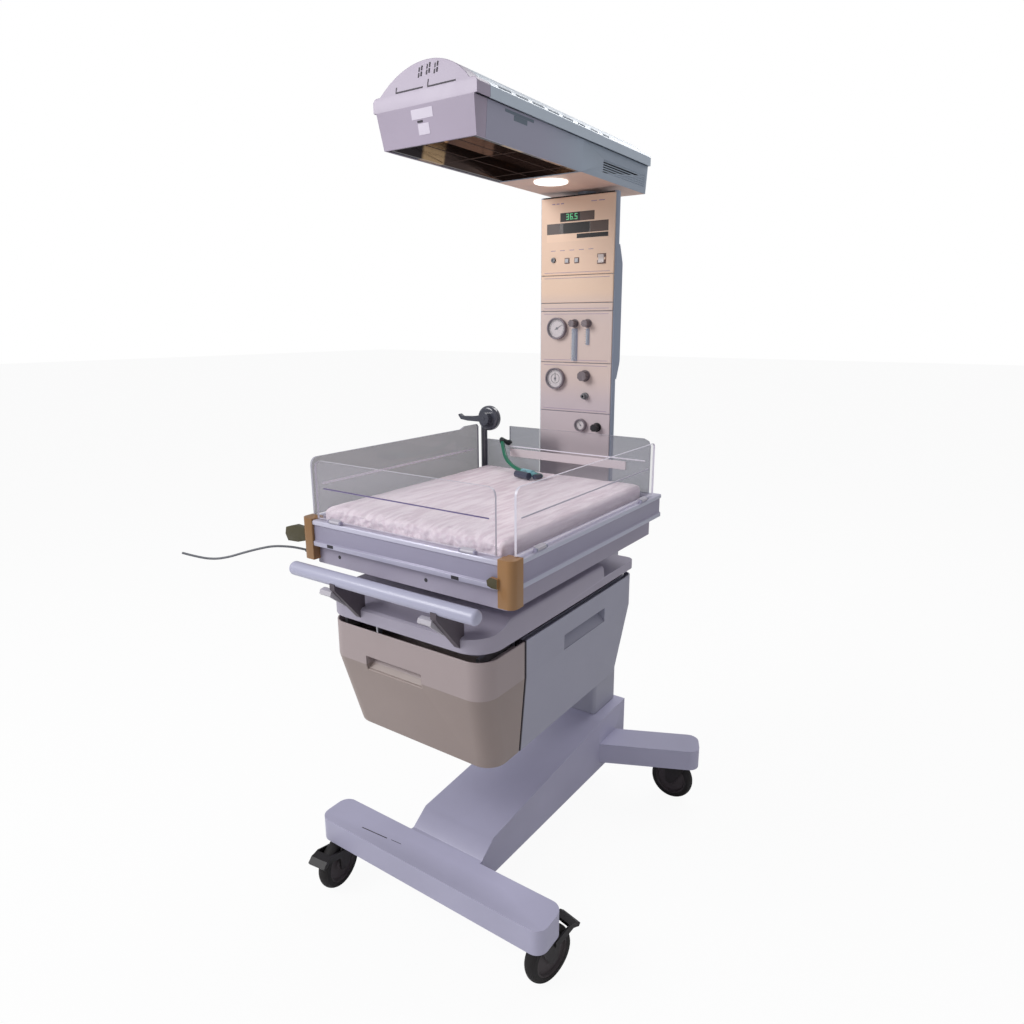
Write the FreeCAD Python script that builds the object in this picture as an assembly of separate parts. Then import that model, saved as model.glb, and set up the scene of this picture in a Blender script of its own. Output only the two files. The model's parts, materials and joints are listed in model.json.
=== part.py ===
import FreeCAD
import Part
import math
import os

"""Open infant warmer on casters: heated hood on a column, tilting bed with clear sides.

Millimetres. +Z is up, the foot end and its handle bar face -Y, and the column stands at +Y.
The origin is on the floor, at the centre of the footprint.
"""

V = FreeCAD.Vector
UP = V(0, 0, 1)

# Overall places
half_length = 484.5
seat_gap = 0.3
running_gap = 0.05
beyond = 3000.0

# Casters
wheel_radius = 62.5
wheel_width = 30.0
hub_radius = 46.0
axle_radius = 5.0
caster_trail = 32.0
stem_radius = 6.0
fork_plate = 4.0
fork_side_gap = 1.5
crown_radius = 28.0
crown_top_z = 2 * wheel_radius + 11.0
well_radius = 33.0
stem_top_z = crown_top_z + 32.0
pedal_z = crown_top_z - 38.0
front_swivel_x = 292.0
front_swivel_y = -340.0
rear_swivel_x = 310.0
headings = {"front_right": 78.0, "front_left": 277.0, "rear_right": 180.0, "rear_left": 350.0}

# Base frame
base_wall = 5.0
front_bar_half = 330.0
front_bar_depth = 92.0
front_bar_bottom_z = 2 * wheel_radius + 2.0
front_bar_top_z = front_bar_bottom_z + 60.0
front_bar_corner = 28.0
spine_half = 105.0
web_radius = 16.0
spine_rear_y = 450.0
spine_seat_y = 296.0
spine_seat_z = 262.0
spine_rear_low_z = 98.0
leg_sweep_deg = 25.0
leg_half_width = 46.0
leg_end = 42.0
leg_corner = 30.0
boss_radius = 24.0

# Post
post_half = 75.0
post_front_y = 308.5
post_rear_y = 442.5
post_top_z = 800.0
post_wall = 4.0
post_corner = 12.0
carrier_half = 60.0
carrier_bottom_z = 778.0

# Drawer tub, shared by the two drawers and the fixed shell
tray_half = 219.0
tray_overhang = 4.0
tub_half = tray_half - tray_overhang
tub_front_y = -411.5
tub_rear_y = 238.5
tub_top_z = 757.0
tub_break_z = 675.0
tub_bottom_z = 498.0
tub_side_taper = 15.0
tub_end_taper = 46.0
tub_front_corner = 45.0
tub_rear_corner = 26.0
tub_wall = 4.0
drawer_seam_y = -270.0
drawer_seam = 3.0
face_inner_x = tub_half - 29.0
recess_depth = 22.0
recess_height = 35.0
front_recess_length = 156.0
front_recess_x = -26.0
front_recess_top_z = tub_top_z - 62.0
side_recess_length = 193.0
side_recess_top_z = tub_top_z - 46.0
bin_gap = 4.0
runner_height = 14.0
runner_width = 8.0
runner_top_z = 745.0

# Chassis tray
tray_front_y = -418.0
tray_bottom_z = 775.0
tray_deck_z = 829.0
tray_lip_z = 806.0
tray_cove_y = -322.0
tray_step_y = 60.0
tray_rear_z = 797.0
tray_front_corner = 62.0
tray_rear_corner = 24.0
tray_wall = 5.0
plinth_inset = 32.0

# Bed
bed_half = 281.0
bed_front_y = -411.5
bed_rear_y = 243.5
rail_width = 26.0
tilt_z = tray_deck_z + 23.0
pan_bottom_z = tilt_z + 23.0
rail_bottom_z = pan_bottom_z + 44.0
rail_top_z = rail_bottom_z + 57.0
rail_groove = 3.5
rail_lip = 9.0
corner_size = 35.0
corner_round = 16.0
corner_bottom_z = rail_bottom_z - 33.0
corner_proud = 2.0
pan_inset = 17.0
deck_half = bed_half - 31.0
deck_top_z = rail_top_z - 21.3
pan_wall = 4.0
mattress_half = deck_half - 3.0
mattress_front_y = bed_front_y + 21.5
mattress_rear_y = bed_rear_y - 22.5
mattress_top_z = deck_top_z + 50.3
tilt_y = -84.0
tilt_shaft_radius = 6.0
tilt_lug_radius = 12.0
tilt_lug_x = 150.0
tilt_ear_x = 118.0
tilt_lug_width = 18.0

# Clear panels
panel_thickness = 5.0
panel_height = 127.0
panel_step_rise = 7.0
panel_step_length = 60.0
panel_ramp_length = 20.0
panel_bottom_z = rail_top_z + 5.0
panel_top_z = panel_bottom_z + panel_height
panel_offset = 8.5
panel_corner = 16.0
front_panel_half = bed_half - 43.0
side_panel_front_y = bed_front_y + 25.5
side_panel_rear_y = bed_rear_y - 31.5
pin_radius = 2.0
knuckle_radius = 3.6
knuckle_length = 30.0
ear_thickness = 4.0
bead_height = 2.6
bead_proud = 1.4
bead_z = panel_bottom_z + 65.0
rear_panel_y = bed_rear_y - 12.0
rear_panel_half = bed_half - 29.0
rear_panel_height = 138.0
rear_panel_notch = 80.0
rear_panel_top_z = rail_top_z + rear_panel_height
rear_panel_notch_z = rear_panel_top_z - 42.0
rear_panel_notch_x = rear_panel_notch - rear_panel_half
rear_slot_z = rail_top_z - 16.0

# Handle bar and squeeze levers
bar_radius = 15.0
bar_half = 249.0
bar_z = 885.0
bracket_x = 134.0
gusset_low = 14.0
gusset_width = 14.0
gusset_rear_y = -404.0
lever_width = 33.0
lever_gap = 0.6
lever_pivot_y = 47.5 - half_length
lever_pivot_z = bar_z - 63.0
lever_pin_radius = 3.0

# Column
column_half = 112.0
column_front_y = 291.5
column_side_depth = 20.0
column_core_half = 68.0
column_rear_y = column_front_y + 80.0
column_top_z = 1709.0
bulge_low_z = 1250.0
bulge_high_z = 1585.0
bulge_depth = 44.0
bulge_slope = 62.0
module_thickness = 4.0
module_half = 107.5
module_gap = 1.5
module_lines = (960.0, 1159.0, 1290.0, 1423.0, 1444.0, 1514.0, 1706.0)

# Hood
hood_front_y = -280.5
hood_rear_y = 441.5
hood_bottom_z = column_top_z + 11.0
hood_bottom_half = 114.7
hood_belt_z = hood_bottom_z + 66.0
hood_belt_half = 120.0
hood_flange = 7.0
hood_shoulder_z = hood_belt_z + 20.0
dome_half = 109.0
dome_foot_z = hood_shoulder_z + 7.0
dome_rise = 50.0
hood_wall = 3.0
hood_corner = 24.0
cap_depth = 40.0
cap_front_y = hood_front_y - 13.0
reflector_rear_y = 103.5
reflector_half = 100.0
reflector_rise = 76.0
reflector_wall = 1.2
heater_radius = 6.0
heater_z = hood_bottom_z + 54.0
lamp_y = 159.5
lamp_radius = 41.0
pivot_y = column_front_y + 46.5
pivot_radius = 24.0

# Front panel fittings on the column: (x, z) centres
gauges = ((-53.0, 1379.0, 28.0), (-57.0, 1247.0, 28.0), (24.0, 1126.0, 16.5))
gauge_depth = 12.0
knobs = {
    "knob_flow": (-1.0, 1392.0, 9.0),
    "knob_mix": (38.0, 1392.0, 9.0),
    "knob_suction": (33.0, 1257.0, 13.0),
    "knob_outlet": (72.0, 1123.0, 10.0),
}
knob_depth = 22.0
knob_shaft_radius = 2.5
tubes = ((-1.0, 1296.0, 1378.0, 5.5), (38.0, 1338.0, 1378.0, 3.5))
buttons = {"button_left": -28.0, "button_right": 1.0}
button_z = 1550.0
button_size = 10.0
button_travel = 2.0
switch_x = 73.0
switch_z = 1551.0
switch_width = 16.0
switch_height = 20.0
windows = ((-50.0, 50.0, 1646.0, 1668.0), (-90.0, 90.0, 1598.0, 1643.0))
window_depth = 1.5
jack_x = -69.0
jack_z = 1553.0
port_x = 35.0
port_z = 1204.0

# Clamp with its lever behind the left panel
pole_x = 19.0 - bed_half
pole_radius = 9.0
disc_x = pole_x + 17.0
disc_rise = 155.0
disc_z = rail_top_z + disc_rise
disc_radius = 35.0
disc_y = rear_panel_y - 9.5
disc_depth = 24.0
lever_depth = 17.0

# Hose and stay: a start, then steps from it
hose_diameter = 11.0
hose_start = V(rear_panel_notch_x - 9, rear_panel_y - 24.5, mattress_top_z + 66)
hose_steps = ((0, 0, 0), (15, -15, -19), (38, -36, -37), (67, -55, -48), (97, -69, -54),
              (119, -76, -56.5))
tee_main_run = V(40, -12, 0)
tee_stub_run = V(32, -14, 0)
tee_outlet_run = V(-6, -20, 0)
tee_branch_run = V(9, -38, 0)
tee_valve_run = V(46, -12, 0)
stay_diameter = 5.0
stay_start = V(-bed_half - 3, bed_front_y + 6.5, rail_bottom_z - 18)
stay_steps = ((0, 0, 0), (-15, -11, 5), (-34, -24, 8), (-60, -42, 9), (-88, -60, 2), (-116, -79, -7),
              (-143, -97, -17), (-170, -115, -22), (-198, -134, -18), (-228, -155, -7))


def block(x, y, z):
    """A box from three (low, high) pairs."""
    return Part.makeBox(x[1] - x[0], y[1] - y[0], z[1] - z[0], V(x[0], y[0], z[0]))


def rod(start, end, radius):
    """A round bar between two points."""
    along = end.sub(start)
    return Part.makeCylinder(radius, along.Length, start, along)


def outline(x, y, z, radii):
    """A closed rectangle in plan with rounded corners, counter-clockwise from the low corner."""
    corners = (V(x[0], y[0], z), V(x[1], y[0], z), V(x[1], y[1], z), V(x[0], y[1], z))
    ways = ((1, 0), (0, 1), (-1, 0), (0, -1))
    edges = []
    joints = []
    for index, corner in enumerate(corners):
        radius = radii[index]
        back = V(ways[index - 1][0] * radius, ways[index - 1][1] * radius, 0)
        ahead = V(ways[index][0] * radius, ways[index][1] * radius, 0)
        joints.append((corner, corner.sub(back), corner.add(ahead), radius))
    for index, (corner, before, after, radius) in enumerate(joints):
        centre = before.add(after).sub(corner)
        middle = centre.add(corner.sub(centre).normalize().multiply(radius))
        edges.append(Part.Arc(before, middle, after).toShape())
        edges.append(Part.LineSegment(after, joints[(index + 1) % 4][1]).toShape())
    return Part.Wire(edges)


def slab(x, y, z, radius):
    """A plate with rounded upright corners; radius is one size, or one for each corner."""
    radii = (radius,) * 4 if isinstance(radius, float) else radius
    return Part.Face(outline(x, y, z[0], radii)).extrude(V(0, 0, z[1] - z[0]))


def polygon(points, along):
    """A prism from a closed run of points, pushed by a vector."""
    return Part.Face(Part.makePolygon(points + [points[0]])).extrude(along)


def prism_x(points, x):
    """A side profile of (y, z) points, pushed along X."""
    return polygon([V(x[0], y, z) for y, z in points], V(x[1] - x[0], 0, 0))


def prism_y(points, y):
    """A front profile of (x, z) points, pushed along Y."""
    return polygon([V(x_at, y[0], z) for x_at, z in points], V(0, y[1] - y[0], 0))


def join(shapes):
    """One solid from touching shapes."""
    return shapes[0].fuse(shapes[1:]).removeSplitter()


def mirrored(shape):
    """The same shape on the other side of the middle plane."""
    return shape.mirror(V(0, 0, 0), V(1, 0, 0))


def save(name, shapes):
    """Write one sub-part; several solids go in as one compound."""
    solids = []
    for shape in shapes if isinstance(shapes, list) else [shapes]:
        solids.extend(shape.Solids)
    whole = solids[0] if len(solids) == 1 else Part.makeCompound(solids)
    whole.exportStep("parts/" + name + ".step")
    print(name, len(solids), round(whole.Volume / 1000, 1), whole.isValid())


def rear_leg_reach():
    """How far back a rear leg's rounded end reaches from its swivel axis."""
    turn = math.radians(leg_sweep_deg)
    along = (leg_end - leg_corner) * math.sin(turn)
    across = (leg_half_width - leg_corner) * math.cos(turn)
    return along + across + leg_corner


rear_swivel_y = half_length - rear_leg_reach()
swivels = {
    "front_right": V(front_swivel_x, front_swivel_y, 0),
    "front_left": V(-front_swivel_x, front_swivel_y, 0),
    "rear_right": V(rear_swivel_x, rear_swivel_y, 0),
    "rear_left": V(-rear_swivel_x, rear_swivel_y, 0),
}
front_bar_y = (front_swivel_y - front_bar_depth / 2, front_swivel_y + front_bar_depth / 2)
bar_y = -half_length + bar_radius


def spine_outline(inset):
    """The spine's side profile; inset shrinks it to the hollow under its skin."""
    front_y = front_bar_y[0] + 6 + inset
    return [
        (front_y, front_bar_bottom_z + inset),
        (spine_rear_y - inset, spine_rear_low_z + inset),
        (spine_rear_y - inset, spine_seat_z - inset),
        (spine_seat_y, spine_seat_z - inset),
        (spine_seat_y - 14, spine_seat_z - 7 - inset),
        (-240, 219 - inset),
        (front_bar_y[1] + 8, front_bar_top_z - inset),
        (front_y, front_bar_top_z - inset),
    ]


def rear_leg(inset, low_z, high_z):
    """One swept rear leg at the right, as a plate; inset shrinks it to its hollow."""
    reach = rear_swivel_x / math.cos(math.radians(leg_sweep_deg))
    across = leg_half_width - inset
    corner = max(leg_corner - inset, 1.0)
    plate = slab(
        (0, reach + leg_end - inset), (-across, across), (low_z, high_z), (0.5, corner, corner, 0.5)
    )
    plate.rotate(V(0, 0, 0), UP, leg_sweep_deg)
    plate.translate(V(0, rear_swivel_y - reach * math.sin(math.radians(leg_sweep_deg)), 0))
    return plate


def base_frame():
    """Cast base: cross bar, rising spine and two swept legs, each hollow, with caster wells."""
    z = (front_bar_bottom_z, front_bar_top_z)
    hollow_z = (z[0] + base_wall, z[1] - base_wall)
    bar = slab((-front_bar_half, front_bar_half), front_bar_y, z, front_bar_corner)
    hollow_bar = slab((-front_bar_half + base_wall, front_bar_half - base_wall),
                      (front_bar_y[0] + base_wall, front_bar_y[1] - base_wall),
                      hollow_z, front_bar_corner - base_wall)
    corner_y = front_bar_y[1]
    behind = block((-beyond, beyond), (corner_y, beyond), (0, beyond))
    spine = prism_x(spine_outline(0), (-spine_half, spine_half)).common(behind)
    hollow_spine = prism_x(spine_outline(base_wall), (base_wall - spine_half, spine_half - base_wall))
    hollow_spine = hollow_spine.cut(block((-beyond, beyond), (-beyond, corner_y + base_wall), (0, beyond)))
    web = block((spine_half, spine_half + web_radius), (corner_y, corner_y + web_radius),
                (z[0], z[1] - 4))
    web = web.cut(rod(V(spine_half + web_radius, corner_y + web_radius, 0),
                      V(spine_half + web_radius, corner_y + web_radius, beyond), web_radius))
    spine = join([spine.cut(hollow_spine), web, mirrored(web)])
    beside = block((spine_half, beyond), (-beyond, beyond), (0, beyond))
    leg = rear_leg(0, z[0], z[1]).common(beside)
    hollow_leg = rear_leg(base_wall, hollow_z[0], hollow_z[1])
    hollow_leg = hollow_leg.cut(block((-beyond, spine_half + base_wall), (-beyond, beyond), (0, beyond)))
    leg = leg.cut(hollow_leg)
    bar = with_caster_wells(bar.cut(hollow_bar), ("front_right", "front_left"))
    leg = with_caster_wells(leg, ("rear_right",))
    save("base_frame", [bar, spine, leg, mirrored(leg)])


def with_caster_wells(skin, names):
    """Round wells under a hollow beam, each with a boss and the bore for a caster's stem."""
    well_top = V(0, 0, crown_top_z + seat_gap)
    bosses = []
    wells = []
    for name in names:
        place = swivels[name]
        bosses.append(rod(place.add(V(0, 0, front_bar_bottom_z)),
                          place.add(well_top).add(V(0, 0, base_wall)), well_radius + base_wall - 1.5))
        bosses.append(rod(place.add(well_top), place.add(V(0, 0, front_bar_top_z - base_wall + 1)),
                          boss_radius))
        wells.append(rod(place, place.add(well_top), well_radius))
        wells.append(rod(place, place.add(V(0, 0, stem_top_z + seat_gap)), stem_radius + running_gap))
    return join([skin] + bosses).cut(wells)


def post():
    """Square tube on the spine, with the block that carries the chassis tray."""
    tube = slab((-post_half, post_half), (post_front_y, post_rear_y), (spine_seat_z, post_top_z),
                post_corner)
    hollow = slab((post_wall - post_half, post_half - post_wall),
                  (post_front_y + post_wall, post_rear_y - post_wall),
                  (spine_seat_z + post_wall, post_top_z - post_wall), post_corner - post_wall)
    carrier = prism_x([(tub_rear_y, carrier_bottom_z), (post_front_y + 1, tub_break_z),
                       (post_front_y + 1, tray_rear_z), (tub_rear_y, tray_rear_z)],
                      (-carrier_half, carrier_half))
    save("post", join([tube, carrier]).cut(hollow))


def caster(name, braked):
    """Swivel fork and wheel at one corner; the front ones carry a brake pedal."""
    place = swivels[name]
    side = wheel_width / 2 + fork_side_gap
    axle_z = wheel_radius

    def settle(shape):
        shape.rotate(V(0, 0, 0), UP, headings[name])
        shape.translate(place)
        return shape

    cheek = [(-16, crown_top_z), (16, crown_top_z), (24, front_bar_bottom_z - 2),
             (48, crown_top_z - 32), (caster_trail + 13, axle_z - 8), (caster_trail, axle_z - 13),
             (caster_trail - 13, axle_z - 6), (-6, crown_top_z - 36)]
    crown = rod(V(0, 0, crown_top_z - 7.5), V(0, 0, crown_top_z), crown_radius)
    stem = rod(V(0, 0, crown_top_z - 1), V(0, 0, stem_top_z), stem_radius)
    axle = rod(V(caster_trail, -side - 1, axle_z), V(caster_trail, side + 1, axle_z), axle_radius)
    pieces = [crown, stem, axle]
    for sign in (-1, 1):
        low = side if sign > 0 else -side - fork_plate
        pieces.append(prism_y(cheek, (low, low + fork_plate)))
        if braked:
            pieces.append(rod(V(caster_trail + 8, sign * side, pedal_z),
                              V(caster_trail + 8, sign * (side + fork_plate + 4.6), pedal_z), 3))
    save("caster_fork_" + name, settle(join(pieces)))

    half = wheel_width / 2
    tread = [V(hub_radius, 0, -half), V(wheel_radius - 6, 0, -half), V(wheel_radius, 0, 0),
             V(wheel_radius - 6, 0, half), V(hub_radius, 0, half)]
    crown_arc = Part.Arc(tread[1], tread[2], tread[3]).toShape()
    lines = [Part.LineSegment(tread[3], tread[4]).toShape(),
             Part.LineSegment(tread[4], tread[0]).toShape(),
             Part.LineSegment(tread[0], tread[1]).toShape()]
    tyre = Part.Face(Part.Wire([crown_arc] + lines)).revolve(V(0, 0, 0), UP, 360)
    bore = axle_radius + running_gap
    hub_points = [V(bore, 0, -half), V(14, 0, -half), V(18, 0, 5 - half), V(hub_radius - 6, 0, 6 - half),
                  V(hub_radius - 3, 0, 1 - half), V(hub_radius, 0, 1 - half),
                  V(hub_radius, 0, half - 1), V(hub_radius - 3, 0, half - 1),
                  V(hub_radius - 6, 0, half - 6), V(18, 0, half - 5), V(14, 0, half), V(bore, 0, half)]
    hub = Part.Face(Part.makePolygon(hub_points + [hub_points[0]])).revolve(V(0, 0, 0), UP, 360)
    wheel = Part.makeCompound([tyre, hub])
    wheel.rotate(V(0, 0, 0), V(1, 0, 0), 90)
    wheel.translate(V(caster_trail, 0, axle_z))
    save("caster_wheel_" + name, settle(wheel))

    if braked:
        arm_low = side + fork_plate + 0.4
        arms = []
        for sign in (-1, 1):
            low = arm_low if sign > 0 else -arm_low - 4
            arm = prism_y([(caster_trail, pedal_z - 6), (caster_trail + 10, pedal_z - 8),
                           (caster_trail + 56, pedal_z + 8), (caster_trail + 54, pedal_z + 20),
                           (caster_trail + 44, pedal_z + 22), (caster_trail, pedal_z + 8)],
                          (low, low + 4))
            hole = rod(V(caster_trail + 8, -beyond, pedal_z), V(caster_trail + 8, beyond, pedal_z),
                       3 + running_gap)
            arms.append(arm.cut(hole))
        pad = prism_y([(caster_trail + 46, pedal_z + 12), (caster_trail + 74, pedal_z + 1),
                       (caster_trail + 78, pedal_z + 8), (caster_trail + 66, pedal_z + 19),
                       (caster_trail + 46, pedal_z + 21)],
                      (-arm_low - 4, arm_low + 4))
        save("brake_pedal_" + name, settle(join([pad] + arms)))


def tub(inset, top_z, bottom_z):
    """The drawer tub: an upright band over a part that draws in towards the bottom."""
    side = tub_half - inset
    corners = (tub_front_corner - inset, tub_front_corner - inset,
               tub_rear_corner - inset, tub_rear_corner - inset)
    y = (tub_front_y + inset, tub_rear_y - inset)
    band = slab((-side, side), y, (tub_break_z, top_z), corners)
    low_side = side - tub_side_taper
    low_y = (y[0] + tub_end_taper, y[1] - tub_end_taper)
    lower = Part.makeLoft([outline((-low_side, low_side), low_y, bottom_z, corners),
                           outline((-side, side), y, tub_break_z, corners)], True, True)
    return join([band, lower])


def front_drawer(outer, inner):
    """Front drawer: upright band, tapered tub, back plate, and the finger recess set in its face."""
    rear_y = drawer_seam_y - drawer_seam
    zone = block((-beyond, beyond), (-beyond, rear_y), (0, beyond))
    back = block((-tub_half + 25, tub_half - 25), (rear_y - tub_wall, rear_y),
                 (tub_bottom_z + tub_wall, runner_top_z - 20))
    x = (front_recess_x - front_recess_length / 2, front_recess_x + front_recess_length / 2)
    low_z = front_recess_top_z - recess_height
    scoop = prism_x([(tub_front_y - 1, front_recess_top_z),
                     (tub_front_y + recess_depth, front_recess_top_z),
                     (tub_front_y + recess_depth, front_recess_top_z - 14),
                     (tub_front_y + 2, low_z), (tub_front_y - 1, low_z)], x)
    pocket = block((x[0] - tub_wall, x[1] + tub_wall),
                   (tub_front_y + 1, tub_front_y + recess_depth + tub_wall),
                   (low_z - tub_wall, front_recess_top_z + tub_wall))
    pocket = pocket.common(tub(tub_wall + running_gap, tub_top_z, tub_bottom_z + tub_wall))
    edge = tray_half - plinth_inset
    ledges = []
    for sign in (-1, 1):
        x_span = sorted((sign * (edge + 1), sign * (tub_half - 1)))
        ledges.append(block(x_span, (tub_front_y + tub_front_corner, rear_y - 1),
                            (tub_top_z - 20 + seat_gap, tub_top_z - 14)))
    shell = outer.cut(inner).common(zone).cut(scoop)
    upper = block((-beyond, beyond), (-beyond, beyond), (tub_break_z, beyond))
    band = join([shell.common(upper)] + ledges)
    save("front_drawer", [band, shell.cut(upper), back, pocket.cut(scoop)])


def side_drawer(outer, inner):
    """Side drawer: moulded face with the rear corner, and a straight bin behind it."""
    zone = block((face_inner_x + drawer_seam, beyond), (drawer_seam_y, beyond), (0, beyond))
    face = outer.cut(inner).common(zone)
    back = block((face_inner_x + drawer_seam, face_inner_x + drawer_seam + tub_wall),
                 (drawer_seam_y, tub_rear_y), (tub_bottom_z + tub_wall, tub_top_z - 8)).common(outer)
    end = block((face_inner_x + drawer_seam, beyond), (drawer_seam_y, drawer_seam_y + tub_wall),
                (0, tub_top_z)).common(outer)
    bin_y = (drawer_seam_y + 16, tub_rear_y - tub_end_taper - tub_wall - bin_gap - 2)
    bin_x = (-tub_half + tub_side_taper + tub_wall + bin_gap + 2, face_inner_x + drawer_seam + 1)
    bin_z = (tub_bottom_z + tub_wall + bin_gap, runner_top_z - 22)
    bin_box = block(bin_x, bin_y, bin_z)
    bin_hollow = block((bin_x[0] + 3, bin_x[1] + 1), (bin_y[0] + 3, bin_y[1] - 3),
                       (bin_z[0] + 3, bin_z[1] + 1))
    mid_y = (drawer_seam_y + tub_rear_y) / 2
    y = (mid_y - side_recess_length / 2, mid_y + side_recess_length / 2)
    low_z = side_recess_top_z - recess_height
    pocket = block((tub_half - recess_depth - tub_wall, tub_half - 1), (y[0] - tub_wall, y[1] + tub_wall),
                   (low_z - tub_wall, side_recess_top_z + tub_wall)).common(outer)
    scoop = prism_y([(tub_half + 1, side_recess_top_z), (tub_half - recess_depth, side_recess_top_z),
                     (tub_half - recess_depth, side_recess_top_z - 14), (tub_half - 2, low_z),
                     (tub_half + 1, low_z)], y)
    rails = []
    for rail_y in side_rail_places():
        rails.append(block((bin_x[0], bin_x[1]), rail_y, side_rail_z()))
    drawer = join([face, back, end, bin_box.cut(bin_hollow), pocket] + rails)
    save("side_drawer", drawer.cut(scoop))


def side_rail_z():
    """Z span of the side drawer's rails."""
    return runner_top_z - 40, runner_top_z - 26


def side_rail_places():
    """Y spans of the two rails on the side drawer's bin, up to the fixed runners."""
    front = (drawer_seam_y + tub_wall + runner_width + 0.5, drawer_seam_y + 17)
    rear = (tub_rear_y - tub_end_taper - tub_wall - bin_gap - 3,
            tub_rear_y - tub_wall - runner_width - 0.5)
    return front, rear


def cabinet_shell(outer, inner):
    """Fixed part of the tub: left side, rear, floor and lid round the side drawer."""
    zone = block((-beyond, face_inner_x), (drawer_seam_y, beyond), (0, tub_top_z))
    wall = block((-tub_half, face_inner_x), (drawer_seam_y, drawer_seam_y + tub_wall),
                 (tub_bottom_z, tub_top_z)).common(outer)
    lid = block((-tub_half, face_inner_x), (drawer_seam_y, tub_rear_y),
                (tub_top_z - tub_wall, tub_top_z)).common(outer)
    skirt = outer.cut(inner).common(zone)
    save("cabinet_shell", join([skirt, wall, lid]))


def drawer_runners():
    """Fixed runners under the plinth for the front drawer, and beside the bin for the side one."""
    bars = []
    edge = tray_half - plinth_inset
    for sign in (-1, 1):
        angle = [(edge - 8, tub_top_z), (edge, tub_top_z), (edge, tub_top_z - 20),
                 (edge + 9, tub_top_z - 20), (edge + 9, tub_top_z - 24), (edge - 8, tub_top_z - 24)]
        bar = prism_y([(sign * x, z) for x, z in angle],
                      (front_runner_y()[0], front_runner_y()[1]))
        bars.append(bar)
    front, rear = side_rail_places()
    low_z = side_rail_z()[0]
    high_z = side_rail_z()[1]
    x = (-tub_half + 40, face_inner_x - 6)
    wall_y = (drawer_seam_y + tub_wall, tub_rear_y - tub_wall)
    for rail, back_y, inner_y in ((front, wall_y[0], front[1] - 2), (rear, wall_y[1], rear[0] + 2)):
        toward = 1 if inner_y > back_y else -1
        spine_y = rail[0] - 0.5 if toward > 0 else rail[1] + 0.5
        web = [back_y, spine_y]
        flange = [back_y, inner_y]
        bar = join([
            block(x, (min(web), max(web)), (low_z - 4, high_z + 4)),
            block(x, (min(flange), max(flange)), (low_z - 4, low_z - 0.5)),
            block(x, (min(flange), max(flange)), (high_z + 0.5, high_z + 4)),
        ])
        bars.append(bar)
    save("drawer_runners", bars)


def front_runner_y():
    """Y span of the front drawer's runners."""
    return tub_front_y + 21.5, drawer_seam_y - drawer_seam - tub_wall - 3


def tilt_bearings():
    """Two bearing blocks let into the tray for the bed's shaft."""
    bore = rod(V(-tray_half, tilt_y, tilt_z), V(tray_half, tilt_y, tilt_z),
               tilt_shaft_radius + running_gap)
    bearings = []
    for sign in (-1, 1):
        x = (sign * tilt_lug_x - tilt_lug_width / 2, sign * tilt_lug_x + tilt_lug_width / 2)
        foot = prism_x([(tilt_y - 22, tray_deck_z - 1.5), (tilt_y + 22, tray_deck_z - 1.5),
                        (tilt_y + 22, tray_deck_z), (tilt_y + tilt_lug_radius, tilt_z),
                        (tilt_y - tilt_lug_radius, tilt_z), (tilt_y - 22, tray_deck_z)], x)
        eye = rod(V(x[0], tilt_y, tilt_z), V(x[1], tilt_y, tilt_z), tilt_lug_radius)
        bearings.append(join([foot, eye]).cut(bore))
    return bearings


def chassis_tray():
    """Tray over the drawers: coved front lip, flat deck, lower rear deck, plinth and bed lugs."""
    profile = [(tray_front_y, tray_bottom_z), (tray_front_y, tray_lip_z - 4),
               (tray_front_y + 5, tray_lip_z), (tray_front_y + 40, tray_lip_z + 4),
               (tray_cove_y - 22, tray_deck_z - 9), (tray_cove_y, tray_deck_z),
               (tray_step_y, tray_deck_z), (tray_step_y + 7, tray_rear_z),
               (tub_rear_y, tray_rear_z), (tub_rear_y, tray_bottom_z)]
    corners = (tray_front_corner, tray_front_corner, tray_rear_corner, tray_rear_corner)
    body = slab((-tray_half, tray_half), (tray_front_y, tub_rear_y), (tray_bottom_z, beyond), corners)
    body = body.common(prism_x(profile, (-tray_half, tray_half)))
    crown = [(-tray_half, tray_bottom_z), (-tray_half, tray_deck_z - 9),
             (-tray_half + 3, tray_deck_z - 3), (-tray_half + 9, tray_deck_z),
             (tray_half - 9, tray_deck_z), (tray_half - 3, tray_deck_z - 3),
             (tray_half, tray_deck_z - 9), (tray_half, tray_bottom_z)]
    body = body.common(prism_y(crown, (tray_front_y, tub_rear_y)))
    low_corners = tuple(max(radius - plinth_inset, 6.0) for radius in corners)
    plinth = slab((-tray_half + plinth_inset, tray_half - plinth_inset),
                  (tray_front_y + plinth_inset, tub_rear_y - plinth_inset),
                  (tub_top_z, tray_bottom_z), low_corners)
    hollow = slab((-tray_half + plinth_inset + tray_wall, tray_half - plinth_inset - tray_wall),
                  (tray_front_y + plinth_inset + tray_wall, tub_rear_y - plinth_inset - tray_wall),
                  (tub_top_z + tray_wall, beyond), low_corners)
    roof = [(y, z - tray_wall) for y, z in profile[1:-1]]
    under = prism_x([(tray_front_y, tub_top_z - 1)] + roof + [(tub_rear_y, tub_top_z - 1)],
                    (-tray_half, tray_half))
    bearings = tilt_bearings()
    tray = join([body, plinth]).cut(hollow.common(under)).cut(bearings)
    save("chassis_tray", [tray] + bearings)
    return tray


def handle_bar():
    """Round push bar with rounded ends, and the two plates that carry it."""
    bar = rod(V(-bar_half, bar_y, bar_z), V(bar_half, bar_y, bar_z), bar_radius)
    bar = bar.makeFillet(bar_radius * 0.6, [e for e in bar.Edges if e.Curve.TypeId == "Part::GeomCircle"])
    save("handle_bar", bar)


def bracket_sides():
    """Low X of each gusset plate; both stand to the same side of their lever."""
    return {"squeeze_left": -bracket_x + gusset_low, "squeeze_right": bracket_x + gusset_low}


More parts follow.
